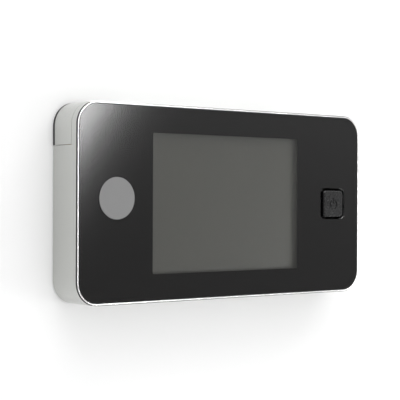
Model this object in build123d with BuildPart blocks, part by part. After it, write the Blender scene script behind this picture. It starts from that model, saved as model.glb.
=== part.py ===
from build123d import *
import os

# Peephole door camera: an indoor monitor that hangs on a steel bracket, and an
# outdoor camera head, clamped through the door by a hollow screw.
# X runs right across the screen, Z up, and Y from the room through the door.
# The origin is on the barrel's axis at the door's inner face.
# A height is measured from that face towards the room, a depth towards the outside.

os.makedirs("parts", exist_ok=True)

# Door, fits and cuts
door_thickness = 42.0
running_gap = 0.05
slide_gap = 0.1
seat_gap = 0.15
loose_gap = 0.3
overrun = 1.0

# Monitor case
corner_radius = 8.1
door_gap = 0.4
band_wall = 1.6
band_lip = 0.4
rear_edge_radius = 0.35

# Front rim, glass and printed mask
rim_width = 0.85
rim_thickness = 0.25
rim_proud = 0.1
rim_edge_radius = 0.15
groove_width = 0.42
lens_thickness = 1.5
lens_edge_break = 0.15
mask_thickness = 0.1
ledge_thickness = 1.0
window_width = 67.2
window_left_margin = 6.8
window_corner = 0.4
badge_radius = 7.1
badge_thickness = 0.1
badge_margin = 15.8
badge_z = 1.75

# Power button and its switch
button_width = 10.25
button_height = 9.95
button_corner = 1.2
button_proud = 0.5
button_bevel = 0.35
button_side_gap = 0.975
button_end_gap = 0.625
button_hole_corner = 1.8
button_hole_bevel = 0.3
button_guide_gap = 0.2
button_flange = 1.6
button_flange_thickness = 0.8
button_left_margin = 1.625
button_right_margin = 7.425
button_travel = 0.5
symbol_width = 0.45
symbol_depth = 0.2
symbol_radius = 1.7
symbol_gap_width = 1.5
symbol_bar_top = 2.3
symbol_bar_base = 0.2
symbol_z = -0.3
switch_size = 6.0
plunger_radius = 1.6

# Display stack
display_end_margin = 3.25
display_tail = 9.05
display_post_gap = 0.4
display_glass_thickness = 1.0
polariser_side_inset = 0.4
polariser_end_margin = 0.7
polariser_thickness = 0.15
gasket_thickness = 0.5
gasket_side_margin = 0.9
gasket_end_margin = 1.25
gasket_strip = 0.55
backlight_flex_gap = 0.9
backlight_thickness = 1.4
board_gap = 0.3

# Main board
board_thickness = 1.2
board_margin = 0.6
board_cradle_gap = 5.05
board_left_corner = 1.5
board_post_wall = 0.8
board_screw_edge_left = 4.5
board_screw_edge_right = 5.5
board_screw_z_right = 15.0
processor_size = 12.0
processor_margin = 4.0
processor_top_edge = 20.0
memory_width = 9.0
memory_height = 7.0
memory_drop = 16.0
chip_thickness = 1.1
coil_size = 5.0
coil_corner = 1.0
coil_thickness = 2.0
coil_edge = 22.8
coil_foot_edge = 20.0
coil_pitch = 7.5
flex_width = 14.0
flex_thickness = 0.15
flex_foot_edge = 9.5
flex_bond = 2.2
flex_rise = 0.875
flex_run = 2.4
flex_entry = 1.6
display_socket_width = 3.4
display_socket_margin = 1.0
display_socket_thickness = 1.3
camera_socket_width = 14.0
camera_socket_height = 4.0
camera_socket_reach = 2.2
camera_socket_edge = 3.8
camera_slot_margin = 1.0
camera_slot_height = 1.0
camera_slot_depth = 1.1

# Battery bay, at the left of the display
cell_radius = 5.25
cell_length = 44.5
nub_radius = 2.75
nub_height = 1.0
cell_rim_radius = 0.5
cell_x_gap = 0.3
cell_corner_rise = 2.6
cell_foot_margin = 18.0
contact_thickness = 0.3
contact_size = 7.6
contact_leaf_width = 3.6
contact_leaf_rise = 3.3
contact_leaf_return = 2.5
cradle_wall = 1.0
cap_right_margin = 2.05
cap_length = 14.7
cap_front_margin = 0.8
cap_back_margin = 0.4
cap_sill = 1.0
tongue_width = 1.5
tongue_length = 17.0
tongue_back_thickness = 1.0
tongue_front_thickness = 0.65
tongue_right_thickness = 1.2
tongue_right_width = 6.0
tongue_right_length = 17.0
cap_rib_thickness = 1.2

# Screws
screw_radius = 1.0
screw_head_radius = 1.85
screw_head_height = 1.2
cross_width = 0.45
cross_length = 2.0
cross_depth = 0.6
board_screw_bite = 1.4
case_screw_tip_gap = 1.1

# Rear cover, its bracket recess and its cable well
cover_thickness = 1.6
cover_gap = 0.1
recess_floor = 1.2
recess_wall = 1.2
recess_cradle_gap = 1.05
recess_boss_gap = 0.2
well_top_margin = 4.5
well_side_margin = 3.0
well_floor = 1.0
well_wall = 1.0
well_corner = 3.0
well_board_gap = 0.4
boss_wall = 0.35
post_wall = 1.1
case_screw_x_inner = -14.0
case_screw_edge_right = 7.0
case_screw_edge_left = 8.0
case_screw_edge_end = 6.5

# Door bracket and its pad
bracket_thickness = 1.2
bracket_corner = 4.0
pad_thickness = 0.5
pad_height = 34.0
pad_corner = 3.0
pad_hole_margin = 3.0
pad_screw_gap = 1.25
barrel_hole_gap = 0.3
hook_width = 8.0
hook_edge = 7.0
hook_top_edge = 12.0
hook_bottom_edge = 6.0
hook_release = 1.0
hook_gap = 0.2
hook_bend_radius = 1.0
hook_window_gap = 0.4
lift_travel = 6.0
bracket_screw_radius = 1.75
bracket_screw_head_radius = 2.6
bracket_screw_margin = 4.0
bracket_screw_z = 12.5

# Clamp sleeve
sleeve_radius = 6.0
sleeve_wall = 1.5
sleeve_length = 28.2
sleeve_head_radius = 10.0
sleeve_head_thickness = 1.5
sleeve_edge_break = 0.4
coin_slot_width = 2.2
coin_slot_depth = 0.8

# Outdoor camera head
tube_wall = 0.95
tube_length = 29.0
tube_edge_break = 0.4
rubber_thickness = 1.0
rubber_inset = 0.6
window_glass_radius = 11.4
window_glass_thickness = 1.2
window_seat_depth = 2.2
window_seat_width = 0.6
nose_wall = 1.8
housing_taper = 0.8
housing_flange_width = 2.0
housing_flange_thickness = 2.6
housing_flange_round = 0.8
housing_nose_round = 0.6
cavity_floor = 3.5
ring_width = 2.8
ring_mouth_width = 1.2
ring_proud = 0.3
sensor_board_thickness = 1.0
sensor_width = 6.5
sensor_height = 5.5
sensor_thickness = 0.8
sensor_room = 0.75
sensor_socket_width = 6.0
sensor_socket_height = 3.0
sensor_socket_reach = 1.4
holder_corner = 1.0
holder_wall = 1.0
lens_barrel_radius = 3.5
lens_barrel_length = 5.0
lens_head_radius = 4.6
lens_head_height = 1.6
lens_seat_radius = 3.4
lens_seat_depth = 0.7
lens_bore_radius = 2.2
lens_dome_height = 0.75
lens_window_gap = 1.9
baffle_wall = 0.8
baffle_hole_radius = 5.2

# The case holds, from left to right, the cells, the window and the button's panel.
# The cells set its height and its depth.
bay_width = (
    band_wall + cover_gap + seat_gap + 4 * cell_radius + 2 * cell_x_gap + cradle_wall
)
button_room = button_width + 2 * button_flange
monitor_width = (
    bay_width
    + window_left_margin
    + window_width
    + display_tail
    + button_left_margin
    + button_room
    + button_right_margin
)
monitor_height = cell_length + corner_radius - cell_corner_rise + cell_foot_margin
monitor_depth = (
    cover_thickness
    + 2 * (cell_radius + seat_gap)
    + ledge_thickness
    + mask_thickness
    + lens_thickness
)
groove_depth = band_lip + running_gap
half_width = monitor_width / 2
half_height = monitor_height / 2

# Heights off the door's inner face
monitor_back = door_gap
glass_front = monitor_back + monitor_depth
rim_front = glass_front + rim_proud
rim_back = rim_front - rim_thickness
band_front = rim_back - groove_width
lens_back = glass_front - lens_thickness
mask_back = lens_back - mask_thickness
ledge_back = mask_back - ledge_thickness
gasket_back = ledge_back - gasket_thickness
display_back = gasket_back - display_glass_thickness
backlight_back = display_back - backlight_thickness
board_front = backlight_back - board_gap
board_back = board_front - board_thickness
cover_front = monitor_back + cover_thickness
cap_front = ledge_back - cap_front_margin
cap_back = cover_front + cap_back_margin
cap_wall_back = monitor_back + cap_sill + slide_gap
plate_front = pad_thickness + bracket_thickness
recess_height = plate_front + loose_gap
slab_front = recess_height + recess_floor
hook_front = slab_front + hook_gap + bracket_thickness
well_height = board_back - well_board_gap - well_floor
shoulder_height = ledge_back - running_gap
cell_height = (ledge_back + cover_front) / 2
button_flange_front = ledge_back - running_gap
button_flange_back = button_flange_front - button_flange_thickness
switch_front = button_flange_back - button_travel - seat_gap
case_joint_height = board_back - slide_gap
case_screw_seat = monitor_back + slide_gap + screw_head_height

# Places in the battery bay
cap_left = -half_width
bay_left = -half_width + band_wall
left_cell_x = bay_left + cover_gap + seat_gap + cell_radius
right_cell_x = left_cell_x + 2 * cell_radius + cell_x_gap
cradle_left = right_cell_x + cell_radius + cell_x_gap
cradle_right = cradle_left + cradle_wall
cap_right = cradle_right + cap_right_margin
cap_bottom = half_height - cap_length
cell_top = half_height - corner_radius + cell_corner_rise
cell_base = cell_top - cell_length
cell_floor = cell_base - contact_leaf_rise - contact_thickness - running_gap

# Screws, posts and bosses
boss_radius = screw_head_radius + slide_gap + boss_wall
post_radius = screw_radius + post_wall
board_post_radius = screw_radius + board_post_wall
screw_row_z = half_height - band_wall - slide_gap - boss_radius
board_left = cradle_right + board_cradle_gap
board_right = half_width - band_wall - board_margin
board_half_height = half_height - band_wall - board_margin
board_corner = corner_radius - band_wall - board_margin
case_screw_length = ledge_back - case_screw_tip_gap - case_screw_seat
board_screw_length = board_thickness + board_screw_bite
case_screw_places = [
    (case_screw_x_inner, screw_row_z),
    (case_screw_x_inner, -screw_row_z),
    (half_width - case_screw_edge_right, half_height - case_screw_edge_end),
    (half_width - case_screw_edge_right, case_screw_edge_end - half_height),
    (case_screw_edge_left - half_width, case_screw_edge_end - half_height),
]
board_screw_places = [
    (board_left + board_screw_edge_left, screw_row_z),
    (board_left + board_screw_edge_left, -screw_row_z),
    (half_width - board_screw_edge_right, board_screw_z_right),
    (half_width - board_screw_edge_right, -board_screw_z_right),
]

# Window, badge, button and display, across the face
display_height = 2 * (screw_row_z - post_radius - display_post_gap)
window_height = display_height - 2 * display_end_margin
window_left = cradle_right + window_left_margin
window_right = window_left + window_width
window_x = (window_left + window_right) / 2
gasket_opening_width = window_width + 2 * gasket_side_margin
gasket_opening_height = window_height + 2 * gasket_end_margin
gasket_outer_width = gasket_opening_width + 2 * gasket_strip
display_left = window_left - gasket_side_margin - gasket_strip
display_right = window_right + display_tail
backlight_right = display_right - flex_bond - backlight_flex_gap
flex_z = flex_foot_edge - display_height / 2
badge_x = badge_margin - half_width
button_x = display_right + button_left_margin + button_room / 2
button_hole_width = button_width + 2 * button_side_gap
button_hole_height = button_height + 2 * button_end_gap

# Clamp, bracket, recess and well round the barrel
sleeve_bore_radius = sleeve_radius - sleeve_wall
tube_radius = sleeve_radius + running_gap + tube_wall
bracket_width = -2 * (cradle_right + recess_cradle_gap + recess_wall + loose_gap)
recess_bottom = boss_radius + recess_boss_gap + recess_wall - screw_row_z
bracket_height = -2 * (recess_bottom + lift_travel + loose_gap)
recess_top = bracket_height / 2 + loose_gap
recess_width = bracket_width + 2 * loose_gap
recess_corner = bracket_corner + loose_gap
hook_x = bracket_width / 2 - hook_edge
hook_bases = (
    bracket_height / 2 - hook_top_edge,
    hook_bottom_edge - bracket_height / 2,
)
hook_lip_rise = lift_travel - hook_release
hook_slot_drop = lift_travel + loose_gap
bracket_screw_x = (
    hook_x
    - hook_width / 2
    - hook_window_gap
    - bracket_screw_head_radius
    - bracket_screw_margin
)
pad_width = 2 * (bracket_screw_x - bracket_screw_radius - pad_screw_gap)
pad_hole_radius = sleeve_radius + pad_hole_margin
well_width = 2 * (sleeve_head_radius + well_side_margin)
well_top = sleeve_head_radius + well_top_margin
well_bottom = -sleeve_head_radius - lift_travel - well_side_margin
camera_socket_z = well_bottom + camera_socket_edge
processor_x = well_width / 2 + well_wall + processor_margin + processor_size / 2
coil_x = board_right - coil_edge
coil_z = coil_foot_edge - half_height
processor_z = half_height - processor_top_edge
memory_z = processor_z - memory_drop

# Outdoor camera head, along the barrel and across it
housing_length = (
    cavity_floor
    + sensor_board_thickness
    + sensor_thickness
    + 2 * loose_gap
    + lens_barrel_length
    + lens_window_gap
    + window_seat_depth
)
housing_start = door_thickness + rubber_thickness
housing_end = housing_start + housing_length
cavity_start = housing_start + cavity_floor
seat_depth = housing_end - window_seat_depth
ring_start = seat_depth + window_glass_thickness
board_end = cavity_start + sensor_board_thickness
barrel_start = board_end + sensor_thickness + 2 * loose_gap
barrel_end = barrel_start + lens_barrel_length
housing_nose_radius = window_glass_radius + nose_wall
housing_foot_radius = housing_nose_radius + housing_taper
housing_flange_radius = housing_foot_radius + housing_flange_width
rubber_radius = housing_flange_radius - rubber_inset
cavity_radius = window_glass_radius - window_seat_width
ring_inner_radius = window_glass_radius - ring_width
ring_mouth_radius = window_glass_radius - ring_mouth_width
holder_size = sensor_width + 2 * (sensor_room + holder_wall)
holder_height = sensor_thickness + lens_barrel_length - lens_head_height


def room_plane(height):
    """The plane at this height off the door, seen from the room."""
    return Plane.XZ.offset(height)


def case_outline(inset, mode=Mode.ADD):
    """The monitor's rounded outline, drawn in by inset."""
    RectangleRounded(
        monitor_width - 2 * inset,
        monitor_height - 2 * inset,
        corner_radius - inset,
        mode=mode,
    )


def span_rectangle(left, right, bottom, top, mode=Mode.ADD):
    """A rectangle between two X places and two Z places."""
    with Locations(((left + right) / 2, (bottom + top) / 2)):
        Rectangle(right - left, top - bottom, mode=mode)


# Front glass, with the button's hole
with BuildPart() as front_glass:
    with BuildSketch(room_plane(lens_back)):
        case_outline(rim_width + slide_gap)
        with Locations((button_x, 0)):
            RectangleRounded(
                button_hole_width,
                button_hole_height,
                button_hole_corner,
                mode=Mode.SUBTRACT,
            )
    extrude(amount=lens_thickness)
    glass_face = front_glass.faces().sort_by(Axis.Y)[0]
    chamfer(glass_face.outer_wire().edges(), lens_edge_break)
    glass_face = front_glass.faces().sort_by(Axis.Y)[0]
    chamfer(glass_face.inner_wires()[0].edges(), button_hole_bevel)
front_glass.part.label = "front_glass"
export_step(front_glass.part, "parts/front_glass.step")

# Black printed mask behind the glass, with the display's window
with BuildPart() as mask_film:
    with BuildSketch(room_plane(mask_back)):
        case_outline(rim_width + slide_gap)
        with Locations((window_x, 0)):
            RectangleRounded(
                window_width, window_height, window_corner, mode=Mode.SUBTRACT
            )
        with Locations((button_x, 0)):
            RectangleRounded(
                button_width + 2 * button_guide_gap,
                button_height + 2 * button_guide_gap,
                button_corner + button_guide_gap,
                mode=Mode.SUBTRACT,
            )
    extrude(amount=mask_thickness)
mask_film.part.label = "mask_film"
export_step(mask_film.part, "parts/mask_film.step")

# Plain round badge stuck on the glass
with BuildPart() as badge_disc:
    with BuildSketch(room_plane(glass_front)):
        with Locations((badge_x, badge_z)):
            Circle(badge_radius)
    extrude(amount=badge_thickness)
badge_disc.part.label = "badge_disc"
export_step(badge_disc.part, "parts/badge_disc.step")

# Bright rim round the glass, with a neck that stands inside the band
with BuildPart() as front_rim:
    with BuildSketch(room_plane(rim_back)):
        case_outline(0)
        case_outline(rim_width, mode=Mode.SUBTRACT)
    extrude(amount=rim_thickness)
    rim_face = front_rim.faces().sort_by(Axis.Y)[0]
    fillet(rim_face.edges(), rim_edge_radius)
    with BuildSketch(room_plane(mask_back)):
        case_outline(groove_depth)
        case_outline(rim_width, mode=Mode.SUBTRACT)
    extrude(amount=rim_back - mask_back)
front_rim.part.label = "front_rim"
export_step(front_rim.part, "parts/front_rim.step")

# Inner frame: the ledge behind the mask, with posts for the screws
with BuildPart() as inner_frame:
    with BuildSketch(room_plane(ledge_back)):
        case_outline(groove_depth)
        with Locations((window_x, 0)):
            Rectangle(gasket_opening_width, gasket_opening_height, mode=Mode.SUBTRACT)
        with Locations((button_x, 0)):
            RectangleRounded(
                button_width + 2 * button_guide_gap,
                button_height + 2 * button_guide_gap,
                button_corner + button_guide_gap,
                mode=Mode.SUBTRACT,
            )
    extrude(amount=ledge_thickness)
    with BuildSketch(room_plane(case_joint_height)):
        with Locations(*case_screw_places):
            Circle(post_radius)
            Circle(screw_radius + running_gap, mode=Mode.SUBTRACT)
    extrude(amount=ledge_back - case_joint_height)
    with BuildSketch(room_plane(board_front)):
        with Locations(*board_screw_places):
            Circle(board_post_radius)
            Circle(screw_radius + running_gap, mode=Mode.SUBTRACT)
    extrude(amount=ledge_back - board_front)
inner_frame.part.label = "inner_frame"
export_step(inner_frame.part, "parts/inner_frame.step")

# Side band, with a thin lip round the front frame and the battery cap's corner cut away
with BuildPart() as side_band:
    with BuildSketch(room_plane(monitor_back)):
        case_outline(0)
        case_outline(band_wall, mode=Mode.SUBTRACT)
    extrude(amount=shoulder_height - monitor_back)
    band_rear_face = side_band.faces().sort_by(Axis.Y)[-1]
    fillet(band_rear_face.outer_wire().edges(), rear_edge_radius)
    with BuildSketch(room_plane(shoulder_height)):
        case_outline(0)
        case_outline(band_lip, mode=Mode.SUBTRACT)
    extrude(amount=band_front - shoulder_height)
    with BuildSketch(room_plane(monitor_back - overrun)):
        span_rectangle(
            cap_left - overrun, cap_right, cap_bottom, half_height + overrun
        )
    extrude(amount=cap_front - monitor_back + overrun, mode=Mode.SUBTRACT)
side_band.part.label = "side_band"
export_step(side_band.part, "parts/side_band.step")

# Battery cap: the case's upper left corner, which slides up off the cells
with BuildPart() as battery_cap:
    with BuildSketch(room_plane(cap_wall_back)):
        case_outline(0)
        case_outline(band_wall, mode=Mode.SUBTRACT)
        span_rectangle(
            cap_left - overrun,
            cap_right - seat_gap,
            cap_bottom + seat_gap,
            half_height + overrun,
            mode=Mode.INTERSECT,
        )
    extrude(amount=cap_front - slide_gap - cap_wall_back)
    tongue_left = bay_left + slide_gap
    for tongue_base, tongue_thickness in (
        (cap_back + slide_gap, tongue_back_thickness),
        (cap_front - slide_gap - tongue_front_thickness, tongue_front_thickness),
    ):
        with BuildSketch(room_plane(tongue_base)):
            span_rectangle(
                tongue_left,
                tongue_left + tongue_width,
                cap_bottom + seat_gap - tongue_length,
                half_height - corner_radius,
            )
            span_rectangle(
                bay_left,
                tongue_left,
                cap_bottom + seat_gap,
                half_height - corner_radius,
            )
        extrude(amount=tongue_thickness)
    tongue_right = cap_right - 2 * seat_gap
    with BuildSketch(room_plane(cell_height - tongue_right_width / 2)):
        span_rectangle(
            tongue_right - tongue_right_thickness,
            tongue_right,
            half_height - band_wall - tongue_right_length,
            half_height - band_wall,
        )
    extrude(amount=tongue_right_width)
    with BuildSketch(room_plane(cell_height - tongue_right_width / 2)):
        for rib_x in (left_cell_x, right_cell_x):
            span_rectangle(
                rib_x - cap_rib_thickness / 2,
                rib_x + cap_rib_thickness / 2,
                cell_top + contact_thickness + running_gap,
                half_height - band_wall,
            )
    extrude(amount=tongue_right_width)
battery_cap.part.label = "battery_cap"
export_step(battery_cap.part, "parts/battery_cap.step")

# Contact strip in the cap, which joins the two cells
with BuildPart() as cap_contact:
    with BuildSketch(room_plane(cell_height - contact_size / 2)):
        span_rectangle(
            left_cell_x - nub_radius,
            right_cell_x + nub_radius,
            cell_top + running_gap,
            cell_top + running_gap + contact_thickness,
        )
    extrude(amount=contact_size)
cap_contact.part.label = "cap_contact"
export_step(cap_contact.part, "parts/cap_contact.step")

# Two cells side by side, one of them upside down
for cell_name, cell_x, nub_end in (
    ("battery_cell_left", left_cell_x, 1),
    ("battery_cell_right", right_cell_x, -1),
):
    body_base = cell_base if nub_end > 0 else cell_base + nub_height
    with BuildPart() as battery_cell:
        with BuildSketch(Plane.XY.offset(body_base)):
            with Locations((cell_x, -cell_height)):
                Circle(cell_radius)
        extrude(amount=cell_length - nub_height)
        fillet(battery_cell.edges().filter_by(GeomType.CIRCLE), cell_rim_radius)
        nub_base = cell_top - nub_height if nub_end > 0 else cell_base
        with BuildSketch(Plane.XY.offset(nub_base)):
            with Locations((cell_x, -cell_height)):
                Circle(nub_radius)
        extrude(amount=nub_height)
    battery_cell.part.label = cell_name
    export_step(battery_cell.part, f"parts/{cell_name}.step")

# Leaf contacts under the cells, with tails to the board
with BuildPart() as bay_contacts:
    for contact_x in (left_cell_x, right_cell_x):
        with BuildSketch(Plane.XY.offset(cell_floor)):
            with Locations((contact_x, -cell_height)):
                Rectangle(contact_size, contact_size)
        extrude(amount=contact_thickness)
        with BuildSketch(Plane.YZ.offset(contact_x - contact_leaf_width / 2)):
            with BuildLine():
                leaf_foot = -cell_height - contact_size / 2
                leaf_floor = cell_floor + contact_thickness / 2
                leaf_top = leaf_floor + contact_leaf_rise
                Polyline(
                    (leaf_foot + contact_thickness / 2, leaf_floor),
                    (-cell_height, leaf_top),
                    (-cell_height + contact_leaf_return, leaf_top - contact_leaf_rise / 2),
                )
            trace(line_width=contact_thickness)
        extrude(amount=contact_leaf_width)
bay_contacts.part.label = "bay_contacts"
export_step(bay_contacts.part, "parts/bay_contacts.step")

# Cradle: the bay's floor and its right wall
with BuildPart() as battery_cradle:
    with BuildSketch(room_plane(cover_front)):
        span_rectangle(
            bay_left + cover_gap,
            cradle_right,
            cell_floor - cradle_wall,
            cell_floor,
        )
        span_rectangle(
            cradle_left,
            cradle_right,
            cell_floor - cradle_wall,
            cell_top,
        )
    extrude(amount=ledge_back - cover_front)
battery_cradle.part.label = "battery_cradle"
export_step(battery_cradle.part, "parts/battery_cradle.step")

# Display: foam gasket, polariser, glass and backlight
with BuildPart() as display_gasket:
    with BuildSketch(room_plane(gasket_back)):
        with Locations((window_x, 0)):
            Rectangle(gasket_outer_width, display_height)
            Rectangle(
                gasket_opening_width, gasket_opening_height, mode=Mode.SUBTRACT
            )
    extrude(amount=gasket_thickness)
display_gasket.part.label = "display_gasket"
export_step(display_gasket.part, "parts/display_gasket.step")

with BuildPart() as display_polariser:
    with BuildSketch(room_plane(gasket_back)):
        with Locations((window_x, 0)):
            Rectangle(
                window_width - 2 * polariser_side_inset,
                window_height + 2 * polariser_end_margin,
            )
    extrude(amount=polariser_thickness)
display_polariser.part.label = "display_polariser"
export_step(display_polariser.part, "parts/display_polariser.step")

with BuildPart() as display_glass:
    with BuildSketch(room_plane(display_back)):
        span_rectangle(
            display_left, display_right, -display_height / 2, display_height / 2
        )
    extrude(amount=display_glass_thickness)
display_glass.part.label = "display_glass"
export_step(display_glass.part, "parts/display_glass.step")

with BuildPart() as backlight:
    with BuildSketch(room_plane(backlight_back)):
        span_rectangle(
            display_left, backlight_right, -display_height / 2, display_height / 2
        )
    extrude(amount=backlight_thickness)
backlight.part.label = "backlight"
export_step(backlight.part, "parts/backlight.step")

# Flex from the display to its socket on the board
with BuildPart() as display_flex:
    with BuildSketch(Plane.XY.offset(flex_z - flex_width / 2)):
        with BuildLine():
            flex_height = display_back - flex_thickness / 2
            flex_low = board_front + flex_rise
            Polyline(
                (display_right - flex_bond, -flex_height),
                (display_right, -flex_height),
                (display_right + flex_run, -flex_low),
                (display_right + flex_run + flex_entry, -flex_low),
            )
        trace(line_width=flex_thickness)
    extrude(amount=flex_width)
display_flex.part.label = "display_flex"
export_step(display_flex.part, "parts/display_flex.step")

with BuildPart() as display_socket:
    with BuildSketch(room_plane(board_front)):
        socket_left = display_right + flex_run
        span_rectangle(
            socket_left,
            socket_left + display_socket_width,
            flex_z - flex_width / 2 - display_socket_margin,
            flex_z + flex_width / 2 + display_socket_margin,
        )
    extrude(amount=display_socket_thickness)
    with BuildSketch(room_plane(flex_low - flex_thickness / 2 - running_gap)):
        span_rectangle(
            socket_left - overrun,
            socket_left + flex_entry + slide_gap,
            flex_z - flex_width / 2 - slide_gap,
            flex_z + flex_width / 2 + slide_gap,
        )
    extrude(amount=flex_thickness + 2 * running_gap, mode=Mode.SUBTRACT)
display_socket.part.label = "display_socket"
export_step(display_socket.part, "parts/display_socket.step")

# Power button: a square cap with a flange behind the ledge and a sunk standby sign
with BuildPart() as power_button:
    with BuildSketch(room_plane(button_flange_back)):
        with Locations((button_x, 0)):
            RectangleRounded(
                button_width + 2 * button_flange,
                button_height + 2 * button_flange,
                button_corner,
            )
    extrude(amount=button_flange_thickness)
    with BuildSketch(room_plane(button_flange_front)):
        with Locations((button_x, 0)):
            RectangleRounded(button_width, button_height, button_corner)
    extrude(amount=glass_front + button_proud - button_flange_front)
    button_face = power_button.faces().sort_by(Axis.Y)[0]
    chamfer(button_face.edges(), button_bevel)
    with BuildSketch(room_plane(glass_front + button_proud - symbol_depth)):
        with Locations((button_x, symbol_z)):
            Circle(symbol_radius + symbol_width / 2)
            Circle(symbol_radius - symbol_width / 2, mode=Mode.SUBTRACT)
        with Locations((button_x, symbol_z + symbol_radius)):
            Rectangle(symbol_gap_width, symbol_radius, mode=Mode.SUBTRACT)
        span_rectangle(
            button_x - symbol_width / 2,
            button_x + symbol_width / 2,
            symbol_bar_base,
            symbol_bar_top,
        )
    extrude(amount=symbol_depth + overrun, mode=Mode.SUBTRACT)
power_button.part.label = "power_button"
export_step(power_button.part, "parts/power_button.step")

# Push switch on the board, with its plunger against the button
with BuildPart() as push_switch:
    with BuildSketch(room_plane(board_front)):
        with Locations((button_x, 0)):
            Rectangle(switch_size, switch_size)
            Circle(plunger_radius + slide_gap, mode=Mode.SUBTRACT)
    extrude(amount=switch_front - board_front)
push_switch.part.label = "push_switch"
export_step(push_switch.part, "parts/push_switch.step")

with BuildPart() as switch_plunger:
    with BuildSketch(room_plane(board_front + button_travel + slide_gap)):
        with Locations((button_x, 0)):
            Circle(plunger_radius)
    extrude(amount=button_flange_back - board_front - button_travel - slide_gap)
switch_plunger.part.label = "switch_plunger"
export_step(switch_plunger.part, "parts/switch_plunger.step")

# Main board and what is soldered to its rear side
with BuildPart() as main_board:
    with BuildSketch(room_plane(board_back)) as board_sketch:
        span_rectangle(board_left, board_right, -board_half_height, board_half_height)
        board_corners = board_sketch.vertices().group_by(Axis.X)
        fillet(board_corners[-1], board_corner)
        fillet(board_corners[0], board_left_corner)
        for x, z in case_screw_places:
            if x > board_left:
                with Locations((x, z)):
                    Circle(post_radius + 2 * slide_gap, mode=Mode.SUBTRACT)
        with Locations(*board_screw_places):
            Circle(screw_radius + slide_gap, mode=Mode.SUBTRACT)
    extrude(amount=board_thickness)
main_board.part.label = "main_board"
export_step(main_board.part, "parts/main_board.step")

with BuildPart() as board_chips:
    with BuildSketch(room_plane(board_back - chip_thickness)):
        with Locations((processor_x, processor_z)):
            Rectangle(processor_size, processor_size)
        with Locations((processor_x, memory_z)):
            Rectangle(memory_width, memory_height)
    extrude(amount=chip_thickness)
    with BuildSketch(room_plane(board_back - coil_thickness)):
        with Locations((coil_x, coil_z), (coil_x + coil_pitch, coil_z)):
            RectangleRounded(coil_size, coil_size, coil_corner)
    extrude(amount=coil_thickness)
board_chips.part.label = "board_chips"
export_step(board_chips.part, "parts/board_chips.step")

with BuildPart() as camera_socket:
    with BuildSketch(room_plane(board_back - camera_socket_reach)):
        with Locations((0, camera_socket_z)):
            Rectangle(camera_socket_width, camera_socket_height)
    extrude(amount=camera_socket_reach)
    with BuildSketch(room_plane(board_back - camera_socket_reach - overrun)):
        with Locations((0, camera_socket_z)):
            Rectangle(camera_socket_width - 2 * camera_slot_margin, camera_slot_height)
    extrude(amount=overrun + camera_slot_depth, mode=Mode.SUBTRACT)
camera_socket.part.label = "camera_socket"
export_step(camera_socket.part, "parts/camera_socket.step")

# Rear cover: a flat plate with the bracket's recess, hook slots and the cable well
with BuildPart() as rear_cover:
    with BuildSketch(room_plane(monitor_back)):
        case_outline(band_wall + cover_gap)
    extrude(amount=cover_thickness)
    with BuildSketch(room_plane(monitor_back)):
        case_outline(0)
        case_outline(band_wall + cover_gap, mode=Mode.SUBTRACT)
        span_rectangle(
            cap_left - overrun,
            cap_right - seat_gap,
            cap_bottom + seat_gap,
            half_height + overrun,
            mode=Mode.INTERSECT,
        )
    extrude(amount=cap_sill)
    with BuildSketch(room_plane(monitor_back)):
        with Locations((0, (recess_top + recess_bottom) / 2)):
            RectangleRounded(
                recess_width + 2 * recess_wall,
                recess_top - recess_bottom + 2 * recess_wall,
                recess_corner + recess_wall,
            )
    extrude(amount=slab_front - monitor_back)
    with BuildSketch(room_plane(recess_height)):
        with Locations((0, (well_top + well_bottom) / 2)):
            RectangleRounded(
                well_width + 2 * well_wall,
                well_top - well_bottom + 2 * well_wall,
                well_corner + well_wall,
            )
    extrude(amount=well_height + well_floor - recess_height)
    with BuildSketch(room_plane(monitor_back)):
        with Locations(*case_screw_places):
            Circle(boss_radius)
    extrude(amount=case_joint_height - monitor_back)
    with BuildSketch(room_plane(monitor_back - overrun)):
        with Locations((0, (recess_top + recess_bottom) / 2)):
            RectangleRounded(recess_width, recess_top - recess_bottom, recess_corner)
    extrude(amount=recess_height - monitor_back + overrun, mode=Mode.SUBTRACT)
    with BuildSketch(room_plane(monitor_back - overrun)):
        with Locations((0, (well_top + well_bottom) / 2)):
            RectangleRounded(well_width, well_top - well_bottom, well_corner)
    extrude(amount=well_height - monitor_back + overrun, mode=Mode.SUBTRACT)
    with BuildSketch(room_plane(well_height - overrun)):
        with Locations((0, camera_socket_z)):
            Rectangle(
                camera_socket_width + 2 * loose_gap, camera_socket_height + 2 * loose_gap
            )
    extrude(amount=well_floor + 2 * overrun, mode=Mode.SUBTRACT)
    with BuildSketch(room_plane(recess_height - overrun)):
        for hook_base in hook_bases:
            for side in (-1, 1):
                span_rectangle(
                    side * hook_x - hook_width / 2 - loose_gap,
                    side * hook_x + hook_width / 2 + loose_gap,
                    hook_base - hook_slot_drop,
                    hook_base + bracket_thickness + slide_gap,
                )
    extrude(amount=recess_floor + 2 * overrun, mode=Mode.SUBTRACT)
    with BuildSketch(room_plane(monitor_back - overrun)):
        with Locations(*case_screw_places):
            Circle(screw_radius + slide_gap)
    extrude(amount=case_joint_height + 2 * overrun, mode=Mode.SUBTRACT)
    with BuildSketch(room_plane(monitor_back - overrun)):
        with Locations(*case_screw_places):
            Circle(screw_head_radius + slide_gap)
    extrude(amount=screw_head_height + slide_gap + overrun, mode=Mode.SUBTRACT)
rear_cover.part.label = "rear_cover"
export_step(rear_cover.part, "parts/rear_cover.step")

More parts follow.
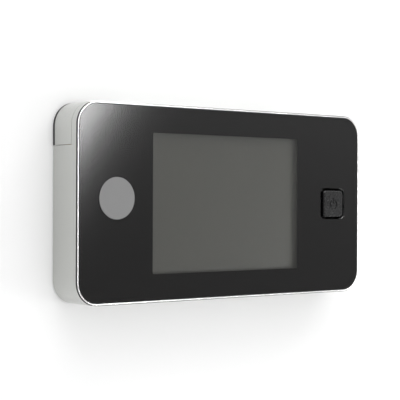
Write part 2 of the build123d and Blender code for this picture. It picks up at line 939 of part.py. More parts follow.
# Cross-head screws: five through the rear cover, four through the board
for screw_name, places, seat_height, shank_length in (
    ("case_screws", case_screw_places, case_screw_seat, case_screw_length),
    ("board_screws", board_screw_places, board_back, board_screw_length),
):
    with BuildPart() as screw_group:
        with BuildSketch(room_plane(seat_height - screw_head_height)):
            with Locations(*places):
                Circle(screw_head_radius)
        extrude(amount=screw_head_height)
        with BuildSketch(room_plane(seat_height)):
            with Locations(*places):
                Circle(screw_radius)
        extrude(amount=shank_length)
        with BuildSketch(room_plane(seat_height - screw_head_height - overrun)):
            with Locations(*places):
                Rectangle(cross_length, cross_width)
                Rectangle(cross_width, cross_length)
        extrude(amount=overrun + cross_depth, mode=Mode.SUBTRACT)
    screw_group.part.label = screw_name
    export_step(screw_group.part, f"parts/{screw_name}.step")

# Steel door bracket with four bent hooks
with BuildPart() as door_bracket:
    with BuildSketch(room_plane(pad_thickness)):
        RectangleRounded(bracket_width, bracket_height, bracket_corner)
        Circle(sleeve_radius + barrel_hole_gap, mode=Mode.SUBTRACT)
        for hook_base in hook_bases:
            for side in (-1, 1):
                hook_window_base = hook_base + bracket_thickness
                span_rectangle(
                    side * hook_x - hook_width / 2 - hook_window_gap,
                    side * hook_x + hook_width / 2 + hook_window_gap,
                    hook_window_base,
                    hook_window_base + hook_front - plate_front + hook_lip_rise,
                    mode=Mode.SUBTRACT,
                )
    extrude(amount=bracket_thickness)
    with BuildSketch(room_plane(pad_thickness)):
        with GridLocations(2 * bracket_screw_x, 2 * bracket_screw_z, 2, 2):
            Circle(bracket_screw_radius)
    extrude(amount=bracket_thickness, mode=Mode.SUBTRACT)
    sink_depth = bracket_screw_head_radius - bracket_screw_radius
    with BuildSketch(room_plane(plate_front)):
        with GridLocations(2 * bracket_screw_x, 2 * bracket_screw_z, 2, 2):
            Circle(bracket_screw_head_radius)
    extrude(amount=-sink_depth, taper=45, mode=Mode.SUBTRACT)
    for hook_base in hook_bases:
        for side in (-1, 1):
            hook_side = side * hook_x - hook_width / 2
            with BuildSketch(Plane.YZ.offset(hook_side)) as hook_sketch:
                with BuildLine():
                    Polyline(
                        (-plate_front, hook_base),
                        (-hook_front, hook_base),
                        (-hook_front, hook_base + bracket_thickness + hook_lip_rise),
                        (
                            -hook_front + bracket_thickness,
                            hook_base + bracket_thickness + hook_lip_rise,
                        ),
                        (-hook_front + bracket_thickness, hook_base + bracket_thickness),
                        (-plate_front, hook_base + bracket_thickness),
                        close=True,
                    )
                make_face()
                bend = hook_sketch.vertices().group_by(Axis.Y)[0].sort_by(Axis.Z)[0]
                fillet(bend, hook_bend_radius)
            extrude(amount=hook_width)
door_bracket.part.label = "door_bracket"
export_step(door_bracket.part, "parts/door_bracket.step")

# Foam pad between the bracket and the door
with BuildPart() as bracket_pad:
    with BuildSketch(room_plane(0)):
        RectangleRounded(pad_width, pad_height, pad_corner)
        Circle(pad_hole_radius, mode=Mode.SUBTRACT)
    extrude(amount=pad_thickness)
bracket_pad.part.label = "bracket_pad"
export_step(bracket_pad.part, "parts/bracket_pad.step")

# Hollow clamp screw, with a coin slot across its flat head
with BuildPart() as clamp_sleeve:
    with BuildSketch(Plane.XY) as sleeve_profile:
        with BuildLine():
            Polyline(
                (sleeve_bore_radius, -plate_front - sleeve_head_thickness),
                (sleeve_head_radius, -plate_front - sleeve_head_thickness),
                (sleeve_head_radius, -plate_front),
                (sleeve_radius, -plate_front),
                (sleeve_radius, sleeve_length - plate_front),
                (sleeve_bore_radius, sleeve_length - plate_front),
                close=True,
            )
        make_face()
        sleeve_ends = sleeve_profile.vertices().group_by(Axis.Y)
        chamfer(sleeve_ends[0].sort_by(Axis.X)[-1], sleeve_edge_break)
        chamfer(sleeve_ends[-1].sort_by(Axis.X)[-1], sleeve_edge_break)
    revolve(axis=Axis.Y)
    with BuildSketch(room_plane(plate_front + sleeve_head_thickness - coin_slot_depth)):
        Rectangle(2 * sleeve_head_radius + overrun, coin_slot_width)
        Circle(sleeve_bore_radius, mode=Mode.SUBTRACT)
    extrude(amount=coin_slot_depth + overrun, mode=Mode.SUBTRACT)
clamp_sleeve.part.label = "clamp_sleeve"
export_step(clamp_sleeve.part, "parts/clamp_sleeve.step")

# Outdoor camera head, built out from the door's outer face
with BuildPart() as door_rubber:
    with BuildSketch(Plane.XZ.offset(-housing_start)):
        Circle(rubber_radius)
        Circle(tube_radius + seat_gap, mode=Mode.SUBTRACT)
    extrude(amount=rubber_thickness)
door_rubber.part.label = "door_rubber"
export_step(door_rubber.part, "parts/door_rubber.step")

with BuildPart() as camera_tube:
    with BuildSketch(Plane.XY) as tube_profile:
        with BuildLine():
            tube_bore_radius = sleeve_radius + running_gap
            Polyline(
                (tube_bore_radius, door_thickness - tube_length),
                (tube_radius, door_thickness - tube_length),
                (tube_radius, cavity_start),
                (tube_bore_radius, cavity_start),
                close=True,
            )
        make_face()
        tube_mouth = tube_profile.vertices().group_by(Axis.Y)[0].sort_by(Axis.X)[-1]
        chamfer(tube_mouth, tube_edge_break)
    revolve(axis=Axis.Y)
camera_tube.part.label = "camera_tube"
export_step(camera_tube.part, "parts/camera_tube.step")

with BuildPart() as camera_housing:
    with BuildSketch(Plane.XY) as housing_profile:
        with BuildLine():
            Polyline(
                (tube_radius + running_gap, housing_start),
                (housing_flange_radius, housing_start),
                (housing_flange_radius, housing_start + housing_flange_thickness),
                (housing_foot_radius, housing_start + housing_flange_thickness),
                (housing_nose_radius, housing_end),
                (window_glass_radius + running_gap, housing_end),
                (window_glass_radius + running_gap, seat_depth),
                (cavity_radius, seat_depth),
                (cavity_radius, cavity_start),
                (tube_radius + running_gap, cavity_start),
                close=True,
            )
        make_face()
        flange_rim = housing_profile.vertices().group_by(Axis.X)[-1]
        fillet(flange_rim, housing_flange_round)
        nose_rim = housing_profile.vertices().group_by(Axis.Y)[-1].sort_by(Axis.X)[-1]
        fillet(nose_rim, housing_nose_round)
    revolve(axis=Axis.Y)
camera_housing.part.label = "camera_housing"
export_step(camera_housing.part, "parts/camera_housing.step")

with BuildPart() as camera_window:
    with BuildSketch(Plane.XZ.offset(-ring_start)):
        Circle(window_glass_radius)
    extrude(amount=window_glass_thickness)
camera_window.part.label = "camera_window"
export_step(camera_window.part, "parts/camera_window.step")

with BuildPart() as window_ring:
    with BuildSketch(Plane.XY):
        with BuildLine():
            Polyline(
                (ring_inner_radius, ring_start),
                (window_glass_radius, ring_start),
                (window_glass_radius, housing_end + ring_proud),
                (ring_mouth_radius, housing_end + ring_proud),
                close=True,
            )
        make_face()
    revolve(axis=Axis.Y)
window_ring.part.label = "window_ring"
export_step(window_ring.part, "parts/window_ring.step")

with BuildPart() as sensor_board:
    with BuildSketch(Plane.XZ.offset(-board_end)):
        Circle(cavity_radius - slide_gap)
    extrude(amount=sensor_board_thickness)
sensor_board.part.label = "sensor_board"
export_step(sensor_board.part, "parts/sensor_board.step")

with BuildPart() as sensor_socket:
    with BuildSketch(Plane.XZ.offset(-cavity_start)):
        Rectangle(sensor_socket_width, sensor_socket_height)
    extrude(amount=sensor_socket_reach)
sensor_socket.part.label = "sensor_socket"
export_step(sensor_socket.part, "parts/sensor_socket.step")

with BuildPart() as image_sensor:
    with BuildSketch(Plane.XZ.offset(-board_end)):
        Rectangle(sensor_width, sensor_height)
    extrude(amount=-sensor_thickness)
image_sensor.part.label = "image_sensor"
export_step(image_sensor.part, "parts/image_sensor.step")

with BuildPart() as lens_holder:
    with BuildSketch(Plane.XZ.offset(-board_end)):
        RectangleRounded(holder_size, holder_size, holder_corner)
        Circle(lens_barrel_radius + running_gap, mode=Mode.SUBTRACT)
    extrude(amount=-holder_height)
    with BuildSketch(Plane.XZ.offset(-board_end)):
        holder_inside = holder_size - 2 * holder_wall
        Rectangle(holder_inside, holder_inside)
    extrude(amount=-sensor_thickness - slide_gap, mode=Mode.SUBTRACT)
lens_holder.part.label = "lens_holder"
export_step(lens_holder.part, "parts/lens_holder.step")

with BuildPart() as lens_barrel:
    with BuildSketch(Plane.XY):
        with BuildLine():
            Polyline(
                (lens_bore_radius, barrel_start),
                (lens_barrel_radius, barrel_start),
                (lens_barrel_radius, barrel_end - lens_head_height),
                (lens_head_radius, barrel_end - lens_head_height),
                (lens_head_radius, barrel_end),
                (lens_seat_radius + running_gap, barrel_end),
                (lens_seat_radius + running_gap, barrel_end - lens_seat_depth),
                (lens_bore_radius, barrel_end - lens_seat_depth),
                close=True,
            )
        make_face()
    revolve(axis=Axis.Y)
lens_barrel.part.label = "lens_barrel"
export_step(lens_barrel.part, "parts/lens_barrel.step")

with BuildPart() as front_element:
    with BuildSketch(Plane.XY):
        with BuildLine():
            element_base = barrel_end - lens_seat_depth
            element_top = barrel_end + lens_dome_height
            dome_rise = lens_seat_radius**2 + lens_dome_height**2
            dome_radius = dome_rise / (2 * lens_dome_height)
            Line((0, element_base), (lens_seat_radius, element_base))
            Line((lens_seat_radius, element_base), (lens_seat_radius, barrel_end))
            RadiusArc((lens_seat_radius, barrel_end), (0, element_top), -dome_radius)
            Line((0, element_top), (0, element_base))
        make_face()
    revolve(axis=Axis.Y)
front_element.part.label = "front_element"
export_step(front_element.part, "parts/front_element.step")

with BuildPart() as camera_baffle:
    with BuildSketch(Plane.XY):
        with BuildLine():
            baffle_end = seat_depth - loose_gap
            baffle_radius = cavity_radius - slide_gap
            Polyline(
                (baffle_radius, board_end),
                (baffle_radius, baffle_end),
                (baffle_hole_radius, baffle_end),
                (baffle_hole_radius, baffle_end - baffle_wall),
                (baffle_radius - baffle_wall, baffle_end - baffle_wall),
                (baffle_radius - baffle_wall, board_end),
                close=True,
            )
        make_face()
    revolve(axis=Axis.Y)
camera_baffle.part.label = "camera_baffle"
export_step(camera_baffle.part, "parts/camera_baffle.step")
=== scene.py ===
import logging
import math
from collections.abc import Iterable, Mapping
from dataclasses import dataclass
from enum import Enum
from typing import Any, ClassVar

import bmesh
import bpy
from mathutils import Matrix, Vector

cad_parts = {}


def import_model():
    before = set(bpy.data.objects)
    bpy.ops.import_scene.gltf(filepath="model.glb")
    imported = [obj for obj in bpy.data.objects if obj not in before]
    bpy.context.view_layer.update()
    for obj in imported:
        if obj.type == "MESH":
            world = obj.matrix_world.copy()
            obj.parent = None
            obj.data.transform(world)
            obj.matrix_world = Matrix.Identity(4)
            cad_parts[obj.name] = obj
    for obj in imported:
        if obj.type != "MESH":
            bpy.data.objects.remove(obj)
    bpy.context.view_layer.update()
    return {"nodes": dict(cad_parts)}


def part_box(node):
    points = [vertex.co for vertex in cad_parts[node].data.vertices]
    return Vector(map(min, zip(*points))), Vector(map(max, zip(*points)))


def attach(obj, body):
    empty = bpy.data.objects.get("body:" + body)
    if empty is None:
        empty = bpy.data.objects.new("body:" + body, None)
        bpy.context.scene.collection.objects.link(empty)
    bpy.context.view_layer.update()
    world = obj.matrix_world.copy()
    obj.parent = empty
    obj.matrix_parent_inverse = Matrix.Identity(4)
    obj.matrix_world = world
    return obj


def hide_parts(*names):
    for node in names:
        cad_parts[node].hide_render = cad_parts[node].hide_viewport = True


# Looks of a peephole door camera: its studio, its finishes, and the pieces whose
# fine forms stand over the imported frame. Everything is in metres, in the frame's axes:
# X right across the screen, Z up, Y from the room through the door.

MM = 0.001
MICRON = 0.000001
LOG = logging.getLogger("peephole_door_camera")

Node = bpy.types.Node
Tree = bpy.types.NodeTree
# What feeds an input. A node stands for its first output.
Source = bpy.types.Node | bpy.types.NodeSocket
Pair = tuple[float, float]
Triple = tuple[float, float, float]
Colour = tuple[float, float, float, float]


# Nodes


def add_node(
    tree: Tree,
    kind: str,
    settings: Mapping[str, Any] | None = None,
    inputs: Mapping[str | int, Any] | None = None,
) -> Node:
    """Adds one node with its settings, its input values and its links.

    Args:
        tree: The node tree to add to.
        kind: Blender's name of the node type.
        settings: Attributes of the node, by name.
        inputs: A value or what feeds it, by input name or number.

    Returns:
        The new node.
    """
    node = tree.nodes.new(kind)
    for name, value in (settings or {}).items():
        setattr(node, name, value)
    for name, value in (inputs or {}).items():
        if isinstance(value, bpy.types.Node):
            value = value.outputs[0]
        if isinstance(value, bpy.types.NodeSocket):
            tree.links.new(value, node.inputs[name])
        else:
            node.inputs[name].default_value = value
    return node


def linear(colour: str) -> Colour:
    """Turns an sRGB hex colour into linear light.

    Args:
        colour: Six hex digits after a hash sign.

    Returns:
        Linear red, green, blue and a full alpha.
    """
    channels = [int(colour[i : i + 2], 16) / 255 for i in (1, 3, 5)]
    red, green, blue = (
        c / 12.92 if c <= 0.04045 else ((c + 0.055) / 1.055) ** 2.4 for c in channels
    )
    return red, green, blue, 1.0


# Finishes


class Axis(Enum):
    """The direction that a rolling grain follows."""

    X = 0
    Y = 1
    Z = 2


@dataclass(frozen=True)
class Finish:
    """A surface as its maker would order it: a material, a colour and how it is made."""

    name: str
    colour: str
    roughness: float
    # How far the roughness falls and rises, and the darkest and lightest shade.
    gloss: ClassVar[Pair] = (0.0, 0.0)
    tone: ClassVar[Pair] = (1.0, 1.0)

    def material(self) -> bpy.types.Material:
        """Builds the finish once, and gives the same material after that.

        Returns:
            The material.
        """
        known = bpy.data.materials.get(self.name)
        if known is not None:
            return known
        material = bpy.data.materials.new(self.name)
        material.use_nodes = True
        tree = material.node_tree
        tree.nodes.clear()
        add_node(tree, "ShaderNodeOutputMaterial", inputs={"Surface": self.shader(tree)})
        return material

    def shader(self, tree: Tree) -> Node:
        """Adds the finish's nodes and returns the one that ends them."""
        return add_node(tree, "ShaderNodeBsdfPrincipled", inputs=self.surface(tree))

    def surface(self, tree: Tree) -> dict[str, Any]:
        """Adds what feeds the shader, and returns it by input name."""
        raise NotImplementedError

    @staticmethod
    def place(tree: Tree, stretch: Triple = (1, 1, 1)) -> Source:
        """Finds the point on the object, in metres.

        Args:
            tree: The material's nodes.
            stretch: How much each axis is scaled.

        Returns:
            The point.
        """
        point = add_node(tree, "ShaderNodeTexCoord").outputs["Object"]
        if stretch == (1, 1, 1):
            return point
        return add_node(tree, "ShaderNodeMapping", inputs={"Vector": point, "Scale": stretch})

    @classmethod
    def lumps(
        cls, tree: Tree, size_mm: float, detail: float = 3.0, stretch: Triple = (1, 1, 1)
    ) -> Node:
        """Adds soft lumps that run from 0 to 1.

        Args:
            tree: The material's nodes.
            size_mm: How wide a lump is.
            detail: How much finer structure it carries.
            stretch: How much each axis is scaled.

        Returns:
            The lumps.
        """
        point, scale = cls.place(tree, stretch), 1 / (size_mm * MM)
        return add_node(
            tree, "ShaderNodeTexNoise", inputs={"Vector": point, "Scale": scale, "Detail": detail}
        )

    @staticmethod
    def follow(
        tree: Tree, pattern: Source, low: float, high: float, start: float = 0.3, end: float = 0.7
    ) -> Node:
        """Lets a number follow a pattern.

        Args:
            tree: The material's nodes.
            pattern: The pattern.
            low: The number where the pattern is at start.
            high: The number where it is at end.
            start: The pattern's lower value.
            end: Its upper value.

        Returns:
            The number.
        """
        ends = {"From Min": start, "From Max": end, "To Min": low, "To Max": high}
        return add_node(tree, "ShaderNodeMapRange", inputs={"Value": pattern, **ends})

    def rough(self, tree: Tree, pattern: Source) -> Node:
        """Makes the gloss uneven, as far as the finish's range goes."""
        fall, rise = self.gloss
        return self.follow(tree, pattern, self.roughness + fall, self.roughness + rise)

    def shades(self, tree: Tree, pattern: Source, dark: float, light: float) -> Source:
        """Lets the colour run between two shades of itself along a pattern."""
        return self.overprint(tree, pattern, self.shade(dark), self.shade(light))

    @staticmethod
    def overprint(tree: Tree, share: Source, under: Any, over: Any) -> Source:
        """Lays one colour over another, as far as a share from 0 to 1 says.

        Args:
            tree: The material's nodes.
            share: How much of the upper colour shows.
            under: The lower colour.
            over: The upper colour.

        Returns:
            The colour that shows.
        """
        colours = {0: share, 6: under, 7: over}
        return add_node(tree, "ShaderNodeMix", {"data_type": "RGBA"}, colours).outputs[2]

    @staticmethod
    def relief(tree: Tree, height: Source, depth_um: float) -> Node:
        """Raises a pattern depth_um high out of the surface, and returns its normal."""
        raised = {"Height": height, "Distance": depth_um * MICRON}
        return add_node(tree, "ShaderNodeBump", inputs=raised)

    def shade(self, factor: float) -> Colour:
        """The finish's colour made darker or lighter by a factor."""
        red, green, blue, alpha = linear(self.colour)
        return red * factor, green * factor, blue * factor, alpha


@dataclass(frozen=True)
class MouldedPlastic(Finish):
    """Injection moulded ABS. The mould's spark-eroded skin breaks its gloss into a fine grain."""

    grain_mm: float = 0.45
    grain_um: float = 9.0
    mottle: float = 0.12
    ior: float = 1.53
    cloud_mm: float = 14.0
    gloss: ClassVar[Pair] = (-0.05, 0.07)

    def surface(self, tree: Tree) -> dict[str, Any]:
        """Adds a mottled colour, an uneven gloss and the mould's grain.

        Args:
            tree: The material's nodes.

        Returns:
            What feeds the shader, by input name.
        """
        grain = self.lumps(tree, self.grain_mm, 2.0)
        clouds = self.lumps(tree, self.cloud_mm)
        return {
            "Base Color": self.shades(tree, clouds, 1 - self.mottle, 1 + self.mottle),
            "Roughness": self.rough(tree, grain),
            "IOR": self.ior,
            "Normal": self.relief(tree, grain, self.grain_um),
        }


@dataclass(frozen=True)
class PrintedInk(Finish):
    """Ink screen-printed on the acrylic's back. Bonded to it, it has no shine of its own."""

    mottle: float = 0.25
    film_mm: float = 9.0

    def surface(self, tree: Tree) -> dict[str, Any]:
        """Adds a flat ink film whose thickness varies a little.

        Args:
            tree: The material's nodes.

        Returns:
            What feeds the shader, by input name.
        """
        film = self.lumps(tree, self.film_mm)
        return {
            "Base Color": self.shades(tree, film, 1 - self.mottle, 1 + self.mottle),
            "Roughness": self.roughness,
            "Specular IOR Level": 0.0,
        }


@dataclass(frozen=True)
class SilverLacquer(Finish):
    """Silver lacquer sprayed on ABS. Its aluminium flakes glitter faintly under a soft shine."""

    # Real flakes are near 0.03 mm, too fine to show, so these are larger.
    flake_mm: float = 0.12
    flake_range: Pair = (0.15, 0.85)
    peel_mm: float = 2.4
    peel_um: float = 2.0
    metal: float = 0.95
    gloss: ClassVar[Pair] = (-0.03, 0.03)
    tone: ClassVar[Pair] = (0.955, 1.045)

    def surface(self, tree: Tree) -> dict[str, Any]:
        """Adds flakes of uneven brightness under a lacquer with a slight orange peel.

        Args:
            tree: The material's nodes.

        Returns:
            What feeds the shader, by input name.
        """
        cells = {"Vector": self.place(tree), "Scale": 1 / (self.flake_mm * MM)}
        flakes = add_node(tree, "ShaderNodeTexVoronoi", inputs=cells).outputs["Color"]
        bright = self.follow(tree, flakes, 0.0, 1.0, *self.flake_range)
        return {
            "Base Color": self.shades(tree, bright, *self.tone),
            "Metallic": self.metal,
            "Roughness": self.rough(tree, bright),
            "Normal": self.relief(tree, self.lumps(tree, self.peel_mm, 1.0), self.peel_um),
        }


@dataclass(frozen=True)
class BrightMetal(Finish):
    """Polished or plated metal. The buffing wheel leaves a faint haze that softens reflections."""

    haze_mm: float = 6.0
    # Real buffing lines are finer than a pixel, so these are wider.
    line_mm: float = 0.12
    line_um: float = 0.4
    line_stretch: Triple = (0.08, 1, 0.08)
    haze_factors: Pair = (0.6, 1.5)
    tone: ClassVar[Pair] = (0.97, 1.0)

    def surface(self, tree: Tree) -> dict[str, Any]:
        """Adds a mirror with patches of haze and fine buffing lines.

        Args:
            tree: The material's nodes.

        Returns:
            What feeds the shader, by input name.
        """
        haze = self.lumps(tree, self.haze_mm)
        lines = self.lumps(tree, self.line_mm, 2.0, self.line_stretch)
        least, most = self.haze_factors
        return {
            "Base Color": self.shades(tree, haze, *self.tone),
            "Metallic": 1.0,
            "Roughness": self.follow(tree, haze, self.roughness * least, self.roughness * most),
            "Normal": self.relief(tree, lines, self.line_um),
        }


@dataclass(frozen=True)
class RolledSteel(Finish):
    """Zinc-plated steel sheet. The mill's rolling grain draws its reflections out across it."""

    along: Axis = Axis.X
    grain_mm: float = 0.35
    grain_um: float = 1.5
    grain_draw: float = 0.04
    cloud_mm: float = 5.0
    gloss: ClassVar[Pair] = (-0.08, 0.1)
    tone: ClassVar[Pair] = (0.86, 1.08)

    def surface(self, tree: Tree) -> dict[str, Any]:
        """Adds the rolling grain and the plating's cloudy patches.

        Args:
            tree: The material's nodes.

        Returns:
            What feeds the shader, by input name.
        """
        stretch = [1.0, 1.0, 1.0]
        stretch[self.along.value] = self.grain_draw
        grain = self.lumps(tree, self.grain_mm, stretch=tuple(stretch))
        return {
            "Base Color": self.shades(tree, self.lumps(tree, self.cloud_mm), *self.tone),
            "Metallic": 1.0,
            "Roughness": self.rough(tree, grain),
            "Normal": self.relief(tree, grain, self.grain_um),
        }


@dataclass(frozen=True)
class TurnedMetal(Finish):
    """Metal turned on a lathe along the barrel. The tool leaves fine rings round its axis."""

    feed_mm: float = 0.25
    ring_um: float = 1.0
    patch_mm: float = 3.0
    gloss: ClassVar[Pair] = (-0.05, 0.1)
    tone: ClassVar[Pair] = (0.88, 1.06)

    def surface(self, tree: Tree) -> dict[str, Any]:
        """Adds the tool's rings, on the faces as circles and on the barrel as hoops.

        Args:
            tree: The material's nodes.

        Returns:
            What feeds the shader, by input name.
        """
        parts = add_node(tree, "ShaderNodeSeparateXYZ", inputs={"Vector": self.place(tree)}).outputs
        flat = add_node(tree, "ShaderNodeCombineXYZ", inputs={"X": parts["X"], "Z": parts["Z"]})
        radius = add_node(tree, "ShaderNodeVectorMath", {"operation": "LENGTH"}, {0: flat})
        rings = radius.outputs["Value"]
        for operation, number in (
            ("ADD", parts["Y"]),
            ("MULTIPLY", math.tau / (self.feed_mm * MM)),
            ("SINE", 0.0),
        ):
            sums = {0: rings, 1: number}
            rings = add_node(tree, "ShaderNodeMath", {"operation": operation}, sums)
        patches = self.lumps(tree, self.patch_mm)
        return {
            "Base Color": self.shades(tree, patches, *self.tone),
            "Metallic": 1.0,
            "Roughness": self.rough(tree, patches),
            "Normal": self.relief(tree, rings, self.ring_um),
        }


@dataclass(frozen=True)
class Elastomer(Finish):
    """Moulded rubber: matt, with a bloom of dust-like lighter patches."""

    bloom: float = 0.35
    bloom_mm: float = 2.2
    skin_mm: float = 0.3
    skin_um: float = 6.0
    gloss: ClassVar[Pair] = (-0.05, 0.08)

    def surface(self, tree: Tree) -> dict[str, Any]:
        """Adds the bloom and a fine skin.

        Args:
            tree: The material's nodes.

        Returns:
            What feeds the shader, by input name.
        """
        bloom = self.lumps(tree, self.bloom_mm)
        return {
            "Base Color": self.shades(tree, bloom, 1.0, 1 + self.bloom),
            "Roughness": self.rough(tree, bloom),
            "Normal": self.relief(tree, self.lumps(tree, self.skin_mm, 1.0), self.skin_um),
        }


@dataclass(frozen=True)
class CellFoam(Finish):
    """Foam sheet. Its cut cells are sunk as small pits, and their darkening is painted shade."""

    cell_mm: float = 0.5
    wall_range: Pair = (0.1, 0.7)
    pit_um: float = 60.0
    # The darkest shade is painted shade in the middle of each pit, the lightest the walls between.
    tone: ClassVar[Pair] = (0.55, 1.2)

    def surface(self, tree: Tree) -> dict[str, Any]:
        """Adds the cut cells as darker pits.

        Args:
            tree: The material's nodes.

        Returns:
            What feeds the shader, by input name.
        """
        cells = {"Vector": self.place(tree), "Scale": 1 / (self.cell_mm * MM)}
        wall = add_node(tree, "ShaderNodeTexVoronoi", inputs=cells)
        # Painted shade: the colour darkens towards each pit's middle, where the bump sinks it.
        share = self.follow(tree, wall, 0.0, 1.0, *self.wall_range)
        return {
            "Base Color": self.shades(tree, share, *self.tone),
            "Roughness": self.roughness,
            "Normal": self.relief(tree, wall, self.pit_um),
        }


@dataclass(frozen=True)
class SeeThrough(Finish):
    """A face that bends light, and lets the lamps through to what is behind it."""

    ior: float = 1.49

    def shader(self, tree: Tree) -> Node:
        """Adds the face, and an open way for the lamps.

        Args:
            tree: The material's nodes.

        Returns:
            The node that ends them.
        """
        clear = {"Color": linear(self.colour)}
        open_way = add_node(tree, "ShaderNodeBsdfTransparent", inputs=clear)
        lamp = add_node(tree, "ShaderNodeLightPath").outputs["Is Shadow Ray"]
        ways = {0: lamp, 1: self.face(tree), 2: open_way}
        return add_node(tree, "ShaderNodeMixShader", inputs=ways)

    def face(self, tree: Tree) -> Node:
        """Adds the face itself."""
        raise NotImplementedError


@dataclass(frozen=True)
class ClearSheet(SeeThrough):
    """Clear acrylic or glass with polished faces. The room mirrors faintly over what is behind."""

    wave_um: float = 0.6
    wave_mm: float = 22.0

    def face(self, tree: Tree) -> Node:
        """Adds the polished sheet with its slow waves.

        Args:
            tree: The material's nodes.

        Returns:
            The node that ends them.
        """
        waves = self.lumps(tree, self.wave_mm, 1.0)
        return add_node(
            tree,
            "ShaderNodeBsdfPrincipled",
            inputs={
                "Base Color": linear(self.colour),
                "Roughness": self.roughness,
                "IOR": self.ior,
                "Transmission Weight": 1.0,
                "Normal": self.relief(tree, waves, self.wave_um),
            },
        )


@dataclass(frozen=True)
class PrintedBack(SeeThrough):
    """The acrylic's back, wetted by its print: light passes here without a second mirror."""

    def face(self, tree: Tree) -> Node:
        """Adds a face that only bends light."""
        bend = {"Color": linear(self.colour), "Roughness": self.roughness, "IOR": self.ior}
        return add_node(tree, "ShaderNodeBsdfRefraction", inputs=bend)


@dataclass(frozen=True)
class CoatedLens(Finish):
    """A ground lens with a coating that mirrors a trace of violet."""

    tint: str = "#8d7fd6"
    cast_mm: float = 2.5
    ior: float = 1.6
    coat_roughness: float = 0.02
    tone: ClassVar[Pair] = (0.7, 1.3)

    def surface(self, tree: Tree) -> dict[str, Any]:
        """Adds dark glass whose mirror is tinted, with the coating's thickness uneven.

        Args:
            tree: The material's nodes.

        Returns:
            What feeds the shader, by input name.
        """
        cast = self.lumps(tree, self.cast_mm, 1.0)
        return {
            "Base Color": self.shades(tree, cast, *self.tone),
            "Roughness": self.roughness,
            "IOR": self.ior,
            "Coat Weight": 1.0,
            "Coat Roughness": self.coat_roughness,
            "Specular Tint": linear(self.tint),
        }


@dataclass(frozen=True)
class ScreenFace(Finish):
    """The polariser of a dark screen: a matt grey-green field inside a darker border."""

    border: str = "#3f3f3c"
    half_width_mm: float = 32.4
    half_height_mm: float = 24.3
    centre_x_mm: float = -0.15
    cloud_mm: float = 30.0
    # The film's skin is finer than a pixel, so this is coarser.
    skin_mm: float = 0.2
    skin_um: float = 1.0
    gloss: ClassVar[Pair] = (-0.04, 0.04)
    tone: ClassVar[Pair] = (0.96, 1.04)

    def surface(self, tree: Tree) -> dict[str, Any]:
        """Adds the field's edges, its faint clouds and the film's matt skin.

        Args:
            tree: The material's nodes.

        Returns:
            What feeds the shader, by input name.
        """
        parts = add_node(tree, "ShaderNodeSeparateXYZ", inputs={"Vector": self.place(tree)}).outputs
        near = {"operation": "COMPARE"}
        inside = [
            add_node(
                tree, "ShaderNodeMath", near, {0: parts[axis], 1: centre * MM, 2: half * MM}
            )
            for axis, centre, half in (
                ("X", self.centre_x_mm, self.half_width_mm),
                ("Z", 0.0, self.half_height_mm),
            )
        ]
        share = add_node(
            tree, "ShaderNodeMath", {"operation": "MULTIPLY"}, dict(enumerate(inside))
        )
        field = self.shades(tree, self.lumps(tree, self.cloud_mm, 1.0), *self.tone)
        skin = self.lumps(tree, self.skin_mm, 1.0)
        return {
            "Base Color": self.overprint(tree, share, linear(self.border), field),
            "Roughness": self.rough(tree, skin),
            "Normal": self.relief(tree, skin, self.skin_um),
        }


@dataclass(frozen=True)
class BoardLaminate(Finish):
    """Glass-fibre board under solder mask. Copper tracks show as slightly paler lines."""

    pitch_mm: float = 1.27
    track_range: Pair = (0.12, 0.2)
    track_um: float = 20.0
    coat: float = 0.5
    coat_roughness: float = 0.15
    tone: ClassVar[Pair] = (0.8, 1.5)

    def surface(self, tree: Tree) -> dict[str, Any]:
        """Adds tracks on a square pitch under a glossy mask.

        Args:
            tree: The material's nodes.

        Returns:
            What feeds the shader, by input name.
        """
        cells = {"Vector": self.place(tree), "Scale": 1 / (self.pitch_mm * MM)}
        distances = [
            add_node(
                tree, "ShaderNodeTexVoronoi", {"distance": "CHEBYCHEV", "feature": near}, cells
            )
            for near in ("F2", "F1")
        ]
        edge = add_node(
            tree, "ShaderNodeMath", {"operation": "SUBTRACT"}, dict(enumerate(distances))
        )
        track = self.follow(tree, edge, 1.0, 0.0, *self.track_range)
        return {
            "Base Color": self.shades(tree, track, *self.tone),
            "Roughness": self.roughness,
            "Coat Weight": self.coat,
            "Coat Roughness": self.coat_roughness,
            "Normal": self.relief(tree, track, self.track_um),
        }


@dataclass(frozen=True)
class CellWrap(Finish):
    """A battery cell's shrink film: one colour with a band at its top, and bare steel ends."""

    band: str = "#c9a64b"
    steel: str = "#c8c8c6"
    foot_mm: float = -15.9
    head_mm: float = 27.3
    band_mm: float = 17.0
    crease_mm: float = 1.5
    crease_um: float = 12.0
    crease_stretch: Triple = (1, 1, 0.25)
    gloss: ClassVar[Pair] = (-0.05, 0.1)

    def surface(self, tree: Tree) -> dict[str, Any]:
        """Adds the film, its band and the steel beyond its ends, by height.

        Args:
            tree: The material's nodes.

        Returns:
            What feeds the shader, by input name.
        """
        parts = add_node(tree, "ShaderNodeSeparateXYZ", inputs={"Vector": self.place(tree)}).outputs
        height, past = parts["Z"], {"operation": "GREATER_THAN"}
        past_foot, past_band, past_head = (
            add_node(tree, "ShaderNodeMath", past, {0: height, 1: level * MM})
            for level in (self.foot_mm, self.band_mm, self.head_mm)
        )
        wrap = self.overprint(tree, past_band, self.shade(1), linear(self.band))
        body = self.overprint(tree, past_head, wrap, linear(self.steel))
        metal = 1.0
        for operation, level in (("SUBTRACT", past_foot), ("ADD", past_head)):
            clamped = {"operation": operation, "use_clamp": True}
            metal = add_node(tree, "ShaderNodeMath", clamped, {0: metal, 1: level})
        creases = self.lumps(tree, self.crease_mm, stretch=self.crease_stretch)
        return {
            "Base Color": self.overprint(tree, past_foot, linear(self.steel), body),
            "Metallic": metal,
            "Roughness": self.rough(tree, creases),
            "Normal": self.relief(tree, creases, self.crease_um),
        }


